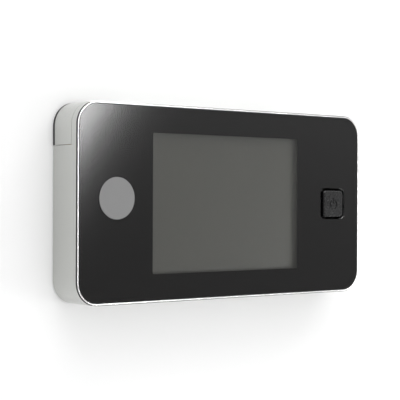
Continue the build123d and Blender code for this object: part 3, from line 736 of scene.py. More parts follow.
@dataclass(frozen=True)
class MattPaint(Finish):
    """Matt wall paint. Where it is one-sided, it is open from its back and to lamps behind."""

    one_sided: bool = False

    def shader(self, tree: Tree) -> Node:
        """Adds the paint.

        Args:
            tree: The material's nodes.

        Returns:
            The node that ends them.
        """
        matt = {"Color": linear(self.colour), "Roughness": self.roughness}
        paint = add_node(tree, "ShaderNodeBsdfDiffuse", inputs=matt)
        if not self.one_sided:
            return paint
        back = add_node(tree, "ShaderNodeNewGeometry").outputs["Backfacing"]
        lamp = add_node(tree, "ShaderNodeLightPath").outputs["Is Shadow Ray"]
        either = add_node(tree, "ShaderNodeMath", {"operation": "MAXIMUM"}, {0: back, 1: lamp})
        clear = add_node(tree, "ShaderNodeBsdfTransparent")
        return add_node(tree, "ShaderNodeMixShader", inputs={0: either, 1: paint, 2: clear})


@dataclass(frozen=True)
class FadingGlow(Finish):
    """The light of a see-through card, which falls off evenly towards its dark side."""

    fade_m: float = 0.0152
    strength: float = 15.0

    def shader(self, tree: Tree) -> Node:
        """Adds the fading light over what is behind the card.

        Args:
            tree: The material's nodes.

        Returns:
            The node that ends them.
        """
        across = add_node(tree, "ShaderNodeSeparateXYZ", inputs={"Vector": self.place(tree)})
        value = across.outputs["X"]
        for operation, *numbers in (
            ("DIVIDE", self.fade_m),
            ("EXPONENT",),
            ("MULTIPLY", -1.0),
            ("EXPONENT",),
            ("MULTIPLY_ADD", -self.strength, self.strength),
        ):
            sums = dict(enumerate((value, *numbers)))
            value = add_node(tree, "ShaderNodeMath", {"operation": operation}, sums)
        glow = {"Color": linear(self.colour), "Strength": value}
        light = add_node(tree, "ShaderNodeEmission", inputs=glow)
        behind = add_node(tree, "ShaderNodeBsdfTransparent")
        return add_node(tree, "ShaderNodeAddShader", inputs={0: behind, 1: light})


# The record's material slots, and what each is made of.
FINISHES: dict[str, Finish] = {
    "glass_clear": ClearSheet("polished_acrylic", "#ffffff", 0.0),
    "mask_print": PrintedInk("screen_printed_ink", "#0b0a0a", 0.5),
    "badge_grey": MouldedPlastic("satin_grey_foil", "#777777", 0.5, 0.5, 1.5, 0.03),
    "rim_bright": BrightMetal("satin_chrome_rim", "#f6f6f6", 0.2),
    "case_silver": SilverLacquer("silver_lacquer", "#bfc0bd", 0.18),
    "cover_black": MouldedPlastic("spark_eroded_abs", "#1a1a1b", 0.6),
    "frame_black": MouldedPlastic("plain_moulded_abs", "#141414", 0.5, 0.8, 4.0),
    "button_black": MouldedPlastic("satin_moulded_abs", "#0c0c0d", 0.26, 0.6, 2.0, 0.1, 1.36),
    "display_face": ScreenFace("matt_polariser", "#3c3c36", 0.42),
    "display_cell": MouldedPlastic("dark_display_glass", "#565651", 0.12, 3.0, 0.5),
    "gasket_foam": CellFoam("closed_cell_foam", "#2e2e2d", 0.9, 0.25),
    "backlight_white": MouldedPlastic("white_diffuser", "#e6e6e2", 0.45, 1.0, 3.0),
    "board_green": BoardLaminate("solder_masked_board", "#1d5a35", 0.4),
    "chip_black": MouldedPlastic("epoxy_package", "#202020", 0.55, 0.3, 5.0),
    "socket_ivory": MouldedPlastic("nylon_socket", "#ded6bf", 0.45, 0.5, 3.0),
    "flex_amber": MouldedPlastic("polyimide_flex", "#b06a1f", 0.3, 2.0, 2.0),
    "switch_black": MouldedPlastic("switch_plastic", "#1c1c1c", 0.4, 0.4, 3.0),
    "cell_wrap": CellWrap("shrink_wrapped_cell", "#1e2a44", 0.28),
    "contact_nickel": BrightMetal("nickel_plated_spring", "#cfcac0", 0.2),
    "screw_black": BrightMetal("black_zinc_screw", "#5c5d61", 0.3),
    "screw_steel": BrightMetal("zinc_plated_screw", "#c2c3c4", 0.25),
    "bracket_steel": RolledSteel("zinc_plated_sheet", "#b9bbbd", 0.34),
    "pad_foam": CellFoam("adhesive_foam", "#3b3b3d", 0.95, 0.4),
    "sleeve_brass": TurnedMetal("turned_nickel_brass", "#c9b98d", 0.24),
    "tube_chrome": TurnedMetal("turned_chrome_tube", "#d6d7d9", 0.16),
    "head_chrome": BrightMetal("polished_chrome_head", "#dfe0e2", 0.09),
    "ring_black": TurnedMetal("black_anodised_ring", "#26262a", 0.3, 0.35),
    "rubber_black": Elastomer("door_rubber", "#1a1a1a", 0.75),
    "window_clear": ClearSheet("polished_window_glass", "#fbfffd", 0.0, 1.52, 0.2),
    "lens_glass": CoatedLens("coated_lens_glass", "#0b0d18", 0.03),
    "lens_black": MouldedPlastic("matt_black_barrel", "#101010", 0.65, 0.3, 6.0),
}


# Meshes


def placed(name: str, data: bpy.types.ID) -> bpy.types.Object:
    """Links a new object to the scene.

    Args:
        name: The object's name.
        data: The mesh, light or camera that it holds.

    Returns:
        The object, at the origin.
    """
    made = bpy.data.objects.new(name, data)
    bpy.context.scene.collection.objects.link(made)
    return made


def slot_name(material: bpy.types.Material) -> str:
    """The record's material slot that a CAD node's own material stands for."""
    return material.name.split(".")[0]


def solid_object(
    name: str, shape: bmesh.types.BMesh, finish: Finish, smooth_deg: float = 35.0
) -> bpy.types.Object:
    """Makes an object from a shape that is already in place.

    Args:
        name: The object's name.
        shape: The shape, which is freed.
        finish: Its finish.
        smooth_deg: Edges flatter than this angle are shaded as one surface.

    Returns:
        The object, linked to the scene.
    """
    bmesh.ops.remove_doubles(shape, verts=shape.verts, dist=0.5 * MICRON)
    bmesh.ops.recalc_face_normals(shape, faces=shape.faces)
    for edge in shape.edges:
        edge.smooth = edge.calc_face_angle(math.pi) < math.radians(smooth_deg)
    for face in shape.faces:
        face.smooth = True
    mesh = bpy.data.meshes.new(name)
    shape.to_mesh(mesh)
    shape.free()
    mesh.materials.append(finish.material())
    return placed(name, mesh)


def plain_mesh(source: bpy.types.Object, name: str, finish: Finish) -> bpy.types.Object:
    """Turns an object with live modifiers into a plain mesh, and removes the source.

    Args:
        source: The object with its modifiers.
        name: The name of the result.
        finish: Its finish.

    Returns:
        The finished object, at the origin.
    """
    bpy.context.view_layer.update()
    view = bpy.context.evaluated_depsgraph_get()
    mesh = bpy.data.meshes.new_from_object(source.evaluated_get(view))
    bpy.data.objects.remove(source)
    shape = bmesh.new()
    shape.from_mesh(mesh)
    bpy.data.meshes.remove(mesh)
    return solid_object(name, shape, finish)


def lathe(profile: Iterable[Pair], sides: int, hollow: bool = True) -> bmesh.types.BMesh:
    """Turns a profile round the Y axis.

    Args:
        profile: Radius and depth along Y of each corner, in millimetres.
        sides: How many steps the turn has.
        hollow: Whether the last corner joins the first. If not, both lie on the axis.

    Returns:
        The turned shape.
    """
    shape = bmesh.new()
    turns = [math.tau * step / sides for step in range(sides)]
    rings = [
        [
            shape.verts.new(
                (radius * math.cos(turn) * MM, depth * MM, radius * math.sin(turn) * MM)
            )
            for turn in turns
        ]
        for radius, depth in profile
    ]
    for ring, following in zip(rings, rings[1:] + rings[: int(hollow)]):
        for step in range(sides):
            after = (step + 1) % sides
            shape.faces.new((ring[step], ring[after], following[after], following[step]))
    return shape


@dataclass
class FormTree:
    """Geometry Nodes that make a form out of the mesh that they get."""

    name: str

    def sizes(self) -> dict[str, Any]:
        """The tree's own inputs, by name."""
        raise NotImplementedError

    def form(self, tree: Tree, given: bpy.types.NodeOutputs) -> Node:
        """Adds the nodes from the tree's inputs to the form, and returns the last."""
        raise NotImplementedError

    def apply(self, target: bpy.types.Object, finish: Finish) -> None:
        """Builds the tree and puts it on an object as a modifier.

        Args:
            target: The object whose mesh the tree gets.
            finish: The finish of the whole result.
        """
        sizes = self.sizes()
        tree = bpy.data.node_groups.new(self.name, "GeometryNodeTree")
        face = tree.interface
        face.new_socket("Geometry", in_out="INPUT", socket_type="NodeSocketGeometry")
        face.new_socket("Geometry", in_out="OUTPUT", socket_type="NodeSocketGeometry")
        for name, size in sizes.items():
            kind = "NodeSocketFloat" if isinstance(size, float) else "NodeSocketObject"
            face.new_socket(name, in_out="INPUT", socket_type=kind)
        form = self.form(tree, add_node(tree, "NodeGroupInput").outputs)
        real = add_node(tree, "GeometryNodeRealizeInstances", inputs={"Geometry": form})
        dress = {"Geometry": real, "Material": finish.material()}
        dressed = add_node(tree, "GeometryNodeSetMaterial", inputs=dress)
        add_node(tree, "NodeGroupOutput", inputs={"Geometry": dressed})
        modifier = target.modifiers.new(tree.name, "NODES")
        modifier.node_group = tree
        for item in face.items_tree:
            if item.in_out == "INPUT" and item.name in sizes:
                modifier[item.identifier] = sizes[item.name]


@dataclass
class ThreadTree(FormTree):
    """Geometry Nodes that wind a screw thread round the Y axis of the mesh they get."""

    root_mm: float
    crest_mm: float
    pitch_mm: float
    start_mm: float
    turns: float
    steps: int = 32
    # How deep the ridge is sunk in the core, as a share of its height, and how wide
    # its foot and its crest are, as shares of the pitch.
    sunk: float = 0.2
    foot: float = 0.9
    crest: float = 0.14

    def sizes(self) -> dict[str, Any]:
        """Works out the thread's sizes, in metres.

        Returns:
            A value for each of the tree's inputs, by name.
        """
        height = (self.crest_mm - self.root_mm) * MM
        sink = self.sunk * height
        return {
            "Turns": self.turns,
            "Pitch": self.pitch_mm * MM,
            "Middle radius": self.root_mm * MM + (height - sink) / 2,
            "Ridge height": height + sink,
            "Start": self.start_mm * MM,
        }

    def form(self, tree: Tree, given: bpy.types.NodeOutputs) -> Node:
        """Sweeps a ridge along a helix, faded at both ends, and joins it to the core.

        Args:
            tree: The tree to add to.
            given: The tree's inputs.

        Returns:
            The core with its thread.
        """
        turns, radius = given["Turns"], given["Middle radius"]
        length, foot, crest = (
            add_node(
                tree, "ShaderNodeMath", {"operation": "MULTIPLY"}, {0: given["Pitch"], 1: times}
            )
            for times in (turns, self.foot, self.crest)
        )
        helix = add_node(
            tree,
            "GeometryNodeCurveSpiral",
            inputs={
                "Resolution": self.steps,
                "Rotations": turns,
                "Start Radius": radius,
                "End Radius": radius,
                "Height": length,
            },
        )
        upright = add_node(
            tree, "GeometryNodeSetCurveNormal", {"mode": "Z_UP"}, {"Curve": helix}
        )
        along = add_node(tree, "GeometryNodeSplineParameter")
        rest = add_node(tree, "ShaderNodeMath", {"operation": "SUBTRACT"}, {0: 1.0, 1: along})
        nearer = add_node(tree, "ShaderNodeMath", {"operation": "MINIMUM"}, {0: along, 1: rest})
        clamped = {"operation": "MULTIPLY", "use_clamp": True}
        grown = add_node(tree, "ShaderNodeMath", clamped, {0: nearer, 1: turns})
        faded = add_node(
            tree, "GeometryNodeSetCurveRadius", inputs={"Curve": upright, "Radius": grown}
        )
        ridge = add_node(
            tree,
            "GeometryNodeCurvePrimitiveQuadrilateral",
            {"mode": "TRAPEZOID"},
            {
                "Height": given["Ridge height"],
                "Bottom Width": foot,
                "Top Width": crest,
                "Offset": 0.0,
            },
        )
        turned = add_node(
            tree,
            "GeometryNodeTransform",
            inputs={"Geometry": ridge, "Rotation": (0, 0, -math.pi / 2)},
        )
        swept = add_node(
            tree,
            "GeometryNodeCurveToMesh",
            inputs={"Curve": faded, "Profile Curve": turned, "Fill Caps": True},
        )
        shift = add_node(tree, "ShaderNodeCombineXYZ", inputs={"Y": given["Start"]})
        laid = add_node(
            tree,
            "GeometryNodeTransform",
            inputs={"Geometry": swept, "Translation": shift, "Rotation": (-math.pi / 2, 0, 0)},
        )
        joined = add_node(tree, "GeometryNodeJoinGeometry", inputs={"Geometry": laid})
        tree.links.new(given["Geometry"], joined.inputs["Geometry"])
        return joined


@dataclass
class BeadTree(FormTree):
    """Geometry Nodes that sweep the profile they get round a rounded rectangle.

    The profile is an object of edges alone, its insets against X and its heights against Y.
    """

    width_mm: float
    height_mm: float
    corner_mm: float
    corner_steps: int = 14

    def sizes(self) -> dict[str, Any]:
        """Works out the rectangle's sizes, in metres.

        Returns:
            A value for each of the tree's inputs, by name.
        """
        names = ("Width", "Height", "Corner radius")
        sizes_mm = (self.width_mm, self.height_mm, self.corner_mm)
        return {name: size * MM for name, size in zip(names, sizes_mm)}

    def form(self, tree: Tree, given: bpy.types.NodeOutputs) -> Node:
        """Rounds the rectangle, sweeps the profile round it and stands it up.

        Args:
            tree: The tree to add to.
            given: The tree's inputs.

        Returns:
            The swept bead.
        """
        oblong = add_node(
            tree,
            "GeometryNodeCurvePrimitiveQuadrilateral",
            {"mode": "RECTANGLE"},
            {"Width": given["Width"], "Height": given["Height"]},
        )
        corner = {"Radius": given["Corner radius"], "Count": self.corner_steps}
        rounded = add_node(
            tree, "GeometryNodeFilletCurve", {"mode": "POLY"}, {"Curve": oblong, **corner}
        )
        upright = add_node(
            tree, "GeometryNodeSetCurveNormal", {"mode": "Z_UP"}, {"Curve": rounded}
        )
        section = add_node(tree, "GeometryNodeMeshToCurve", inputs={"Mesh": given["Geometry"]})
        swept = add_node(
            tree,
            "GeometryNodeCurveToMesh",
            inputs={"Curve": upright, "Profile Curve": section},
        )
        stood = {"Geometry": swept, "Rotation": (math.pi / 2, 0, 0)}
        return add_node(tree, "GeometryNodeTransform", inputs=stood)


@dataclass
class PatternTree(FormTree):
    """Geometry Nodes that put one piece on every point of the mesh they get."""

    piece: bpy.types.Object

    def sizes(self) -> dict[str, Any]:
        """The piece to repeat."""
        return {"Piece": self.piece}

    def form(self, tree: Tree, given: bpy.types.NodeOutputs) -> Node:
        """Puts the piece on the points.

        Args:
            tree: The tree to add to.
            given: The tree's inputs.

        Returns:
            The pieces.
        """
        source = add_node(tree, "GeometryNodeObjectInfo", inputs={"Object": given["Piece"]})
        pattern = {"Points": given["Geometry"], "Instance": source.outputs["Geometry"]}
        return add_node(tree, "GeometryNodeInstanceOnPoints", inputs=pattern)


def cut_and_thread(
    name: str,
    blank: bmesh.types.BMesh,
    cutter: bmesh.types.BMesh,
    thread: ThreadTree,
    finish: Finish,
) -> bpy.types.Object:
    """Cuts a turned blank and winds its thread.

    Args:
        name: The name of the result.
        blank: The blank's shape.
        cutter: The shape that is cut out of it.
        thread: The thread.
        finish: The finish of the whole.

    Returns:
        The threaded piece, on the Y axis.
    """
    core = solid_object("blank", blank, finish)
    tool = solid_object("cutter", cutter, finish)
    cut = core.modifiers.new("cut", "BOOLEAN")
    cut.operation, cut.solver, cut.object = "DIFFERENCE", "EXACT", tool
    thread.apply(core, finish)
    made = plain_mesh(core, name, finish)
    bpy.data.objects.remove(tool)
    return made


# Pieces


class Body(Enum):
    """The CAD bodies that the scene's own pieces ride on."""

    MONITOR = "monitor"
    CLAMP_SLEEVE = "clamp_sleeve"


@dataclass
class SubAssembly:
    """A group of CAD nodes, with the pieces that stand for some of them."""

    nodes: dict[str, bpy.types.Object]
    names: tuple[str, ...] = ()

    def dress(self) -> None:
        """Gives each node of the group the finish of its material slot."""
        for name in self.names:
            node = self.nodes[name]
            for slot in node.material_slots:
                slot.material = FINISHES[slot_name(slot.material)].material()
            LOG.info("%s: %s", name, node.material_slots[0].material.name)

    def build(self) -> None:
        """Builds and dresses the group's own pieces, where it has any."""

    def settle(self, piece: bpy.types.Object, body: Body, slot: str, node: str) -> None:
        """Puts a finished piece on its body, for the node that it stands for.

        Args:
            piece: The finished piece.
            body: The body that it moves with.
            slot: The record's material slot of its finish. Not used.
            node: The CAD node that it replaces.
        """
        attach(piece, body.value)
        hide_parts(node)
        LOG.info("%s: %d faces", piece.name, len(piece.data.polygons))


@dataclass
class FrontPanel(SubAssembly):
    """The acrylic front with its printed mask, badge, bright rim and screen."""

    names: tuple[str, ...] = (
        "mask_film", "badge_disc", "inner_frame", "display_gasket", "display_polariser",
        "display_glass", "backlight", "display_flex", "display_socket",
    )
    case_mm: Triple = (130.0, 68.0, 8.1)
    # Inset and height of the rim's corners: its crown, its neck and its collar, which is coloured
    # black as painted shade for the gap behind the rim.
    bead_mm: tuple[Pair, ...] = (
        (0.27, 15.35), (0.25, 15.37), (0.25, 15.4), (0.27, 15.44), (0.31, 15.475),
        (0.37, 15.495), (0.45, 15.5), (0.54, 15.495), (0.61, 15.475), (0.66, 15.44),
        (0.69, 15.395), (0.7, 15.34), (0.7, 13.9), (0.45, 13.9), (0.45, 14.88),
        (0.1, 14.88), (0.1, 15.35),
    )
    # Faces behind this depth get the black finish: painted shade in the gap behind the rim.
    painted_shade_collar_mm: float = 15.355
    air_gap_mm: float = 0.01
    hole_margin_mm: float = 2.2
    edge_band_mm: float = 1.2
    pane_growth_mm: float = 0.15
    pane_smooth_deg: float = 30.0
    # How far along Y a normal points on the pane's back, and at most on its walls.
    back_facing: float = 0.9
    wall_facing: float = 0.3
    back_finish: Finish = PrintedBack("printed_acrylic_back", "#ffffff", 0.0)

    def build(self) -> None:
        """Builds the clear pane and the bright bead round it."""
        self.pane()
        self.bead()

    def bead(self) -> None:
        """Builds the crowned rim on its collar, coloured black as painted shade, which shows as the
        dark gap behind the rim.
        """
        slot = "rim_bright"
        mesh = bpy.data.meshes.new("bead_profile")
        count = len(self.bead_mm)
        mesh.from_pydata(
            [(-inset * MM, -height * MM, 0) for inset, height in self.bead_mm],
            [(step, (step + 1) % count) for step in range(count)],
            [],
        )
        profile = placed("bead_profile", mesh)
        BeadTree("rim_bead", *self.case_mm).apply(profile, FINISHES[slot])
        rim = plain_mesh(profile, "crowned_rim", FINISHES[slot])
        rim.data.materials.append(FINISHES["frame_black"].material())
        # The collar's faces get the black finish, as painted shade for the gap behind the rim.
        for face in rim.data.polygons:
            if face.center.y > -self.painted_shade_collar_mm * MM:
                face.material_index = 1
        self.settle(rim, Body.MONITOR, slot, "front_rim")

    def pane(self) -> None:
        """Builds the clear pane, held a hair off its print so that the two faces part."""
        shape = bmesh.new()
        shape.from_mesh(self.nodes["front_glass"].data)
        bmesh.ops.remove_doubles(shape, verts=shape.verts, dist=MICRON)
        back = max(vert.co.y for vert in shape.verts)
        for vert in shape.verts:
            if vert.co.y > back - MICRON:
                vert.co.y = back - self.air_gap_mm * MM
            self.spread_edge(vert)
        slot = "glass_clear"
        pane = solid_object("clear_front_pane", shape, FINISHES[slot], self.pane_smooth_deg)
        pane.data.materials.append(self.back_finish.material())
        pane.data.materials.append(FINISHES["frame_black"].material())
        low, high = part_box("power_button")
        margin = self.hole_margin_mm * MM
        for face in pane.data.polygons:
            middle = face.center
            if face.normal.y > self.back_facing:
                face.material_index = 1
            elif (
                abs(face.normal.y) < self.wall_facing
                and low.x - margin < middle.x < high.x + margin
                and low.z - margin < middle.z < high.z + margin
            ):
                face.material_index = 2
        self.settle(pane, Body.MONITOR, slot, "front_glass")

    def spread_edge(self, vert: bmesh.types.BMVert) -> None:
        """Moves a point at the pane's edge out to the slim rim.

        Args:
            vert: The point.
        """
        width, height, corner = (size * MM for size in self.case_mm)
        place = Vector((abs(vert.co.x), abs(vert.co.z)))
        core = Vector((min(place.x, width / 2 - corner), min(place.y, height / 2 - corner)))
        out = place - core
        if corner - out.length < self.edge_band_mm * MM:
            place += out.normalized() * self.pane_growth_mm * MM
            vert.co.x = math.copysign(place.x, vert.co.x)
            vert.co.z = math.copysign(place.y, vert.co.z)


@dataclass(frozen=True)
class CrossScrew:
    """A pan-head screw with a cross recess, which stands in Y with its head outermost."""

    head_depth_mm: float
    seat_depth_mm: float
    tip_depth_mm: float
    head_radius_mm: float = 1.85
    head_wall: float = 0.42
    dome_deg: tuple[int, ...] = (0, 15, 30, 44, 57, 69, 80, 90)
    broken_mm: float = 0.06
    crest_mm: float = 0.98
    root_mm: float = 0.76
    pitch_mm: float = 0.7
    tip_mm: float = 0.4
    tip_taper: float = 0.4
    thread_start_mm: float = 0.3
    thread_short_mm: float = 0.7
    thread_steps: int = 18
    sides: int = 32
    recess_mm: Triple = (2.1, 0.75, 0.42)
    recess_taper: float = 0.62

    def make(self, finish: Finish) -> bpy.types.Object:
        """Turns the screw, cuts its recess and winds its thread.

        Args:
            finish: The screw's finish.

        Returns:
            One screw, on the Y axis.
        """
        length = self.seat_depth_mm - self.tip_depth_mm
        thread = ThreadTree(
            "screw_thread",
            self.root_mm,
            self.crest_mm,
            self.pitch_mm,
            self.tip_depth_mm + self.thread_start_mm,
            (length - self.thread_short_mm) / self.pitch_mm,
            self.thread_steps,
        )
        return cut_and_thread("cross_screw", self.core(), self.cutter(), thread, finish)

    def core(self) -> bmesh.types.BMesh:
        """Turns the domed head and the plain shank.

        Returns:
            The screw's blank.
        """
        top, seat, tip = self.head_depth_mm, self.seat_depth_mm, self.tip_depth_mm
        height, radius, edge = top - seat, self.head_radius_mm, self.broken_mm
        wall, crown = self.head_wall, 1 - self.head_wall
        dome = [
            (radius * math.sin(turn), seat + height * (wall + crown * math.cos(turn)))
            for turn in (math.radians(angle) for angle in self.dome_deg)
        ]
        shank = [
            (radius, seat + edge),
            (radius - edge, seat),
            (self.root_mm, seat),
            (self.root_mm, tip + self.tip_mm),
            (self.tip_taper * self.root_mm, tip),
            (0.0, tip),
        ]
        return lathe([*dome, *shank], self.sides, False)

    def cutter(self) -> bmesh.types.BMesh:
        """Builds the cross that cuts the recess, narrower at its floor.

        Returns:
            The cross.
        """
        shape = bmesh.new()
        length, depth, width = self.recess_mm
        corner, arm = width / 2, length / 2
        quarter = [(corner, -corner), (arm, -corner), (arm, corner)]
        rings = []
        for level, taper in ((depth, 1.0), (-depth, self.recess_taper)):
            height = (self.head_depth_mm + level) * MM
            ring = []
            for turn in range(4):
                spin = Matrix.Rotation(turn * math.pi / 2, 2)
                for place in quarter:
                    x, z = spin @ Vector(place) * taper * MM
                    ring.append(shape.verts.new((x, height, z)))
            shape.faces.new(ring)
            rings.append(ring)
        mouth, floor = rings
        for step in range(len(mouth)):
            shape.faces.new((mouth[step - 1], mouth[step], floor[step], floor[step - 1]))
        return shape


@dataclass
class MonitorCase(SubAssembly):
    """The silver band, its battery cap, the cells and the black back, with their screws."""

    names: tuple[str, ...] = (
        "side_band", "battery_cap", "cap_contact", "battery_cell_left", "battery_cell_right",
        "bay_contacts", "battery_cradle", "rear_cover",
    )
    case_screw: CrossScrew = CrossScrew(-0.5, -1.7, -11.7)
    case_places_mm: tuple[Pair, ...] = (
        (-14.0, 30.0), (-14.0, -30.0), (58.0, 27.5), (58.0, -27.5), (-57.0, -27.5),
    )
    board_screw: CrossScrew = CrossScrew(-7.2, -8.4, -11.0)
    board_places_mm: tuple[Pair, ...] = (
        (-31.0, 30.0), (-31.0, -30.0), (59.5, 15.0), (59.5, -15.0),
    )

    def build(self) -> None:
        """Drives the screws home, those of the back and those of the board."""
        self.drive("case_screws", self.case_screw, self.case_places_mm)
        self.drive("board_screws", self.board_screw, self.board_places_mm)

    def drive(self, node: str, screw: CrossScrew, places_mm: tuple[Pair, ...]) -> None:
        """Puts a screw at each place.

        Args:
            node: The CAD node that the screws replace.
            screw: The screw.
            places_mm: X and Z of each place.
        """
        slot = slot_name(self.nodes[node].material_slots[0].material)
        finish = FINISHES[slot]
        one = screw.make(finish)
        mesh = bpy.data.meshes.new("screw_places")
        mesh.from_pydata([(x * MM, 0, z * MM) for x, z in places_mm], [], [])
        points = placed("screw_places", mesh)
        PatternTree("screw_pattern", one).apply(points, finish)
        screws = plain_mesh(points, "threaded_" + node, finish)
        bpy.data.objects.remove(one)
        self.settle(screws, Body.MONITOR, slot, node)


@dataclass
class Electronics(SubAssembly):
    """The button, its switch and the board behind the screen."""

    names: tuple[str, ...] = (
        "power_button", "push_switch", "switch_plunger", "main_board", "board_chips",
        "camera_socket",
    )


@dataclass
class DoorMount(SubAssembly):
    """The steel bracket on the door and its foam pad."""

    names: tuple[str, ...] = ("door_bracket", "bracket_pad")


@dataclass
class ClampSleeve(SubAssembly):
    """The hollow screw that draws the outdoor head against the door."""

    head_mm: float = 10.0
    crest_mm: float = 5.98
    root_mm: float = 5.5
    bore_mm: float = 4.5
    pitch_mm: float = 1.0
    front_mm: float = -3.2
    seat_mm: float = -1.7
    end_mm: float = 26.5
    edge_mm: float = 0.4
    rim_edge_mm: float = 0.12
    seat_edge_mm: float = 0.15
    bore_edge_mm: float = 0.3
    thread_start_mm: float = 1.0
    thread_short_mm: float = 1.4
    sides: int = 96
    slot_width_mm: float = 2.2
    slot_depth_mm: float = 0.8
    slot_reach: float = 2.2

    def build(self) -> None:
        """Turns the sleeve, cuts its coin slot and winds its thread."""
        slot = "sleeve_brass"
        thread = ThreadTree(
            "sleeve_thread",
            self.root_mm,
            self.crest_mm,
            self.pitch_mm,
            self.seat_mm + self.thread_start_mm,
            self.end_mm - self.seat_mm - self.thread_short_mm,
        )
        sleeve = cut_and_thread(
            "threaded_sleeve", self.core(), self.cutter(), thread, FINISHES[slot]
        )
        self.settle(sleeve, Body.CLAMP_SLEEVE, slot, "clamp_sleeve")

    def core(self) -> bmesh.types.BMesh:
        """Turns the sleeve without its thread, with broken edges.

        Returns:
            The sleeve's blank.
        """
        head, root, bore, edge = self.head_mm, self.root_mm, self.bore_mm, self.edge_mm
        front, seat, end = self.front_mm, self.seat_mm, self.end_mm
        return lathe(
            [
                (bore + self.bore_edge_mm, front),
                (head - edge, front),
                (head - self.rim_edge_mm, front + self.rim_edge_mm),
                (head, front + edge),
                (head, seat - self.seat_edge_mm),
                (head - self.seat_edge_mm, seat),
                (root, seat),
                (root, end - edge),
                (root - edge, end),
                (bore, end),
                (bore, front + self.bore_edge_mm),
            ],
            self.sides,
        )

    def cutter(self) -> bmesh.types.BMesh:
        """Builds the block that cuts the coin slot across the head.

        Returns:
            The block.
        """
        shape = bmesh.new()
        reach, depth = self.slot_reach * self.head_mm * MM, 2 * self.slot_depth_mm
        block = Matrix.Diagonal((reach, depth * MM, self.slot_width_mm * MM, 1))
        matrix = Matrix.Translation((0, self.front_mm * MM, 0)) @ block
        bmesh.ops.create_cube(shape, size=1.0, matrix=matrix)
        return shape


@dataclass
class OutdoorHead(SubAssembly):
    """The camera head on the outside of the door, on its tube."""

    names: tuple[str, ...] = (
        "door_rubber", "camera_tube", "camera_housing", "camera_window", "window_ring",
        "sensor_board", "sensor_socket", "image_sensor", "lens_holder", "lens_barrel",
        "front_element", "camera_baffle",
    )


# Studio


def backdrop_sheet(name: str, corners: list[Triple], finish: Finish) -> bpy.types.Object:
    """Makes one flat piece that isn't part of the object.

    Args:
        name: The piece's name.
        corners: Its corners in turn.
        finish: Its finish.

    Returns:
        The piece.
    """
    mesh = bpy.data.meshes.new(name)
    mesh.from_pydata(corners, [], [range(len(corners))])
    mesh.materials.append(finish.material())
    made = placed(name, mesh)
    return made


@dataclass(frozen=True)
class SoftLamp:
    """A round soft lamp aimed at the object, by its bearing from the screen's front."""

    name: str
    bearing_deg: float
    height_deg: float
    watts: float
    size_m: float = 0.5
    distance_m: float = 1.3

    def hang(self) -> None:
        """Adds the lamp to the scene."""
        bearing, height = math.radians(self.bearing_deg), math.radians(self.height_deg)
        level = math.cos(height)
        way = Vector((math.sin(bearing) * level, -math.cos(bearing) * level, math.sin(height)))
        data = bpy.data.lights.new(self.name, "AREA")
        data.shape = "DISK"
        data.size = self.size_m
        data.energy = self.watts
        lamp = placed(self.name, data)
        lamp.location = way * self.distance_m
        lamp.rotation_mode = "QUATERNION"
        lamp.rotation_quaternion = way.to_track_quat("Z", "Y")
        lamp.visible_camera = False


@dataclass(frozen=True)
class GlowCard:
    """A card that glows in mirrors only, and fades away across its width."""

    centre_m: Triple = (0.4684, -0.8636, 0.0651)
    brighter_way: Triple = (-0.7204, -0.4209, 0.5504)
    facing: Triple = (-0.5305, 0.8464, -0.0471)
    dark_side_m: float = 0.13
    bright_side_m: float = 0.06
    half_length_m: float = 0.2
    finish: Finish = FadingGlow("glow_card", "#ffffff", 0.0)

    def hang(self) -> None:
        """Adds the card to the scene, seen by mirrors alone."""
        long, dark, bright = self.half_length_m, -self.dark_side_m, self.bright_side_m
        card = backdrop_sheet(
            "glow_card",
            [(dark, -long, 0), (bright, -long, 0), (bright, long, 0), (dark, long, 0)],
            self.finish,
        )
        across, ahead = Vector(self.brighter_way), Vector(self.facing)
        turn = Matrix((across, ahead.cross(across), ahead)).transposed().to_4x4()
        card.matrix_world = Matrix.Translation(self.centre_m) @ turn
        card.visible_camera = card.visible_diffuse = False
        card.visible_transmission = card.visible_shadow = False


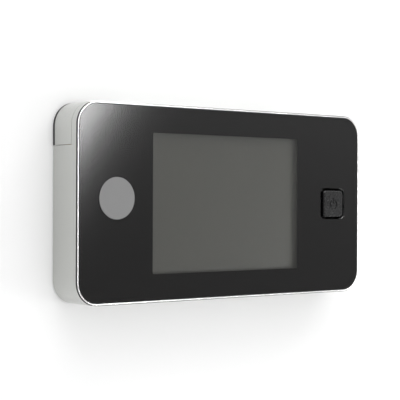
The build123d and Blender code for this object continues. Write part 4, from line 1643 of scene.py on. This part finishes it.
@dataclass
class Studio:
    """A white door leaf and floor, soft lamps and the camera."""

    lens_mm: float = 109.07
    sensor_mm: float = 36.0
    clip_m: Pair = (0.02, 30.0)
    eye_mm: Triple = (-277.10, -351.15, 1.35)
    yaw_deg: float = 38.084
    pitch_deg: float = -0.013
    roll_deg: float = 0.228
    floor_m: float = -1.0
    floor_half_m: float = 3.0
    wall_half_m: float = 2.0
    wall_gap_mm: float = 0.02
    # The room's light rises between these heights of the way out, from dim to bright.
    rise: Pair = (-0.07, 0.2)
    room_light: Pair = (0.47, 0.9)
    lamps: tuple[SoftLamp, ...] = (
        SoftLamp("key", 60, 50, 2.1),
        SoftLamp("upper_left", -30, 50, 2.2),
        SoftLamp("overhead", 0, 70, 3.0),
        SoftLamp("high_right", 60, 70, 1.1),
        SoftLamp("low_right", 60, -10, 3.6),
        SoftLamp("right_edge", 89, 70, 4.6),
        SoftLamp("rear", 155, 35, 4.0, 0.8),
    )

    def build(self) -> None:
        """Sets up the view, the backdrop and the light."""
        bpy.context.scene.view_settings.view_transform = "Standard"
        self.camera()
        self.backdrop()
        self.world()
        for lamp in self.lamps:
            lamp.hang()
        GlowCard().hang()

    def camera(self) -> None:
        """Places the camera at the photograph's viewing angle."""
        yaw, pitch, roll = (
            math.radians(a) for a in (self.yaw_deg, self.pitch_deg, self.roll_deg)
        )
        level = math.cos(pitch)
        ahead = Vector((math.sin(yaw) * level, math.cos(yaw) * level, math.sin(pitch)))
        right = Vector((math.cos(yaw), -math.sin(yaw), 0))
        up = right.cross(ahead)
        turned = (
            right * math.cos(roll) + up * math.sin(roll),
            up * math.cos(roll) - right * math.sin(roll),
            -ahead,
        )
        data = bpy.data.cameras.new("product_camera")
        data.lens = self.lens_mm
        data.sensor_width = self.sensor_mm
        data.clip_start, data.clip_end = self.clip_m
        camera = placed("product_camera", data)
        camera.matrix_world = Matrix.Translation(Vector(self.eye_mm) * MM) @ (
            Matrix(turned).transposed().to_4x4()
        )
        bpy.context.scene.camera = camera

    def backdrop(self) -> None:
        """Builds the door leaf behind the monitor and the pale floor."""
        half, low, back = self.wall_half_m, self.floor_m, self.wall_gap_mm * MM
        backdrop_sheet(
            "door_leaf",
            [(-half, back, low), (half, back, low), (half, back, half), (-half, back, half)],
            MattPaint("white_door_paint", "#ffffff", 0.0, True),
        )
        far = self.floor_half_m
        backdrop_sheet(
            "floor",
            [(-far, -far, low), (far, -far, low), (far, far, low), (-far, far, low)],
            MattPaint("pale_floor", "#f4f4f4", 0.0),
        )

    def world(self) -> None:
        """Lights everything from a plain pale room, dim below and bright above."""
        world = bpy.data.worlds.new("pale_room")
        world.use_nodes = True
        tree = world.node_tree
        tree.nodes.clear()
        way = add_node(tree, "ShaderNodeTexCoord")
        parts = add_node(tree, "ShaderNodeSeparateXYZ", inputs={"Vector": way})
        names = ("From Min", "From Max", "To Min", "To Max")
        light = add_node(
            tree,
            "ShaderNodeMapRange",
            {"interpolation_type": "SMOOTHSTEP"},
            {"Value": parts.outputs["Z"], **dict(zip(names, (*self.rise, *self.room_light)))},
        )
        pale = {"Color": linear("#ffffff"), "Strength": light}
        room = add_node(tree, "ShaderNodeBackground", inputs=pale)
        add_node(tree, "ShaderNodeOutputWorld", inputs={"Surface": room})
        bpy.context.scene.world = world


# Making


def main() -> None:
    """Loads the frame, dresses each sub-assembly and builds the studio round it."""
    logging.basicConfig(level=logging.INFO, format="%(name)s %(message)s")
    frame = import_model()
    Studio().build()
    for group in (FrontPanel, MonitorCase, Electronics, DoorMount, ClampSleeve, OutdoorHead):
        made = group(frame["nodes"])
        made.dress()
        made.build()


if __name__ == "__main__":
    main()
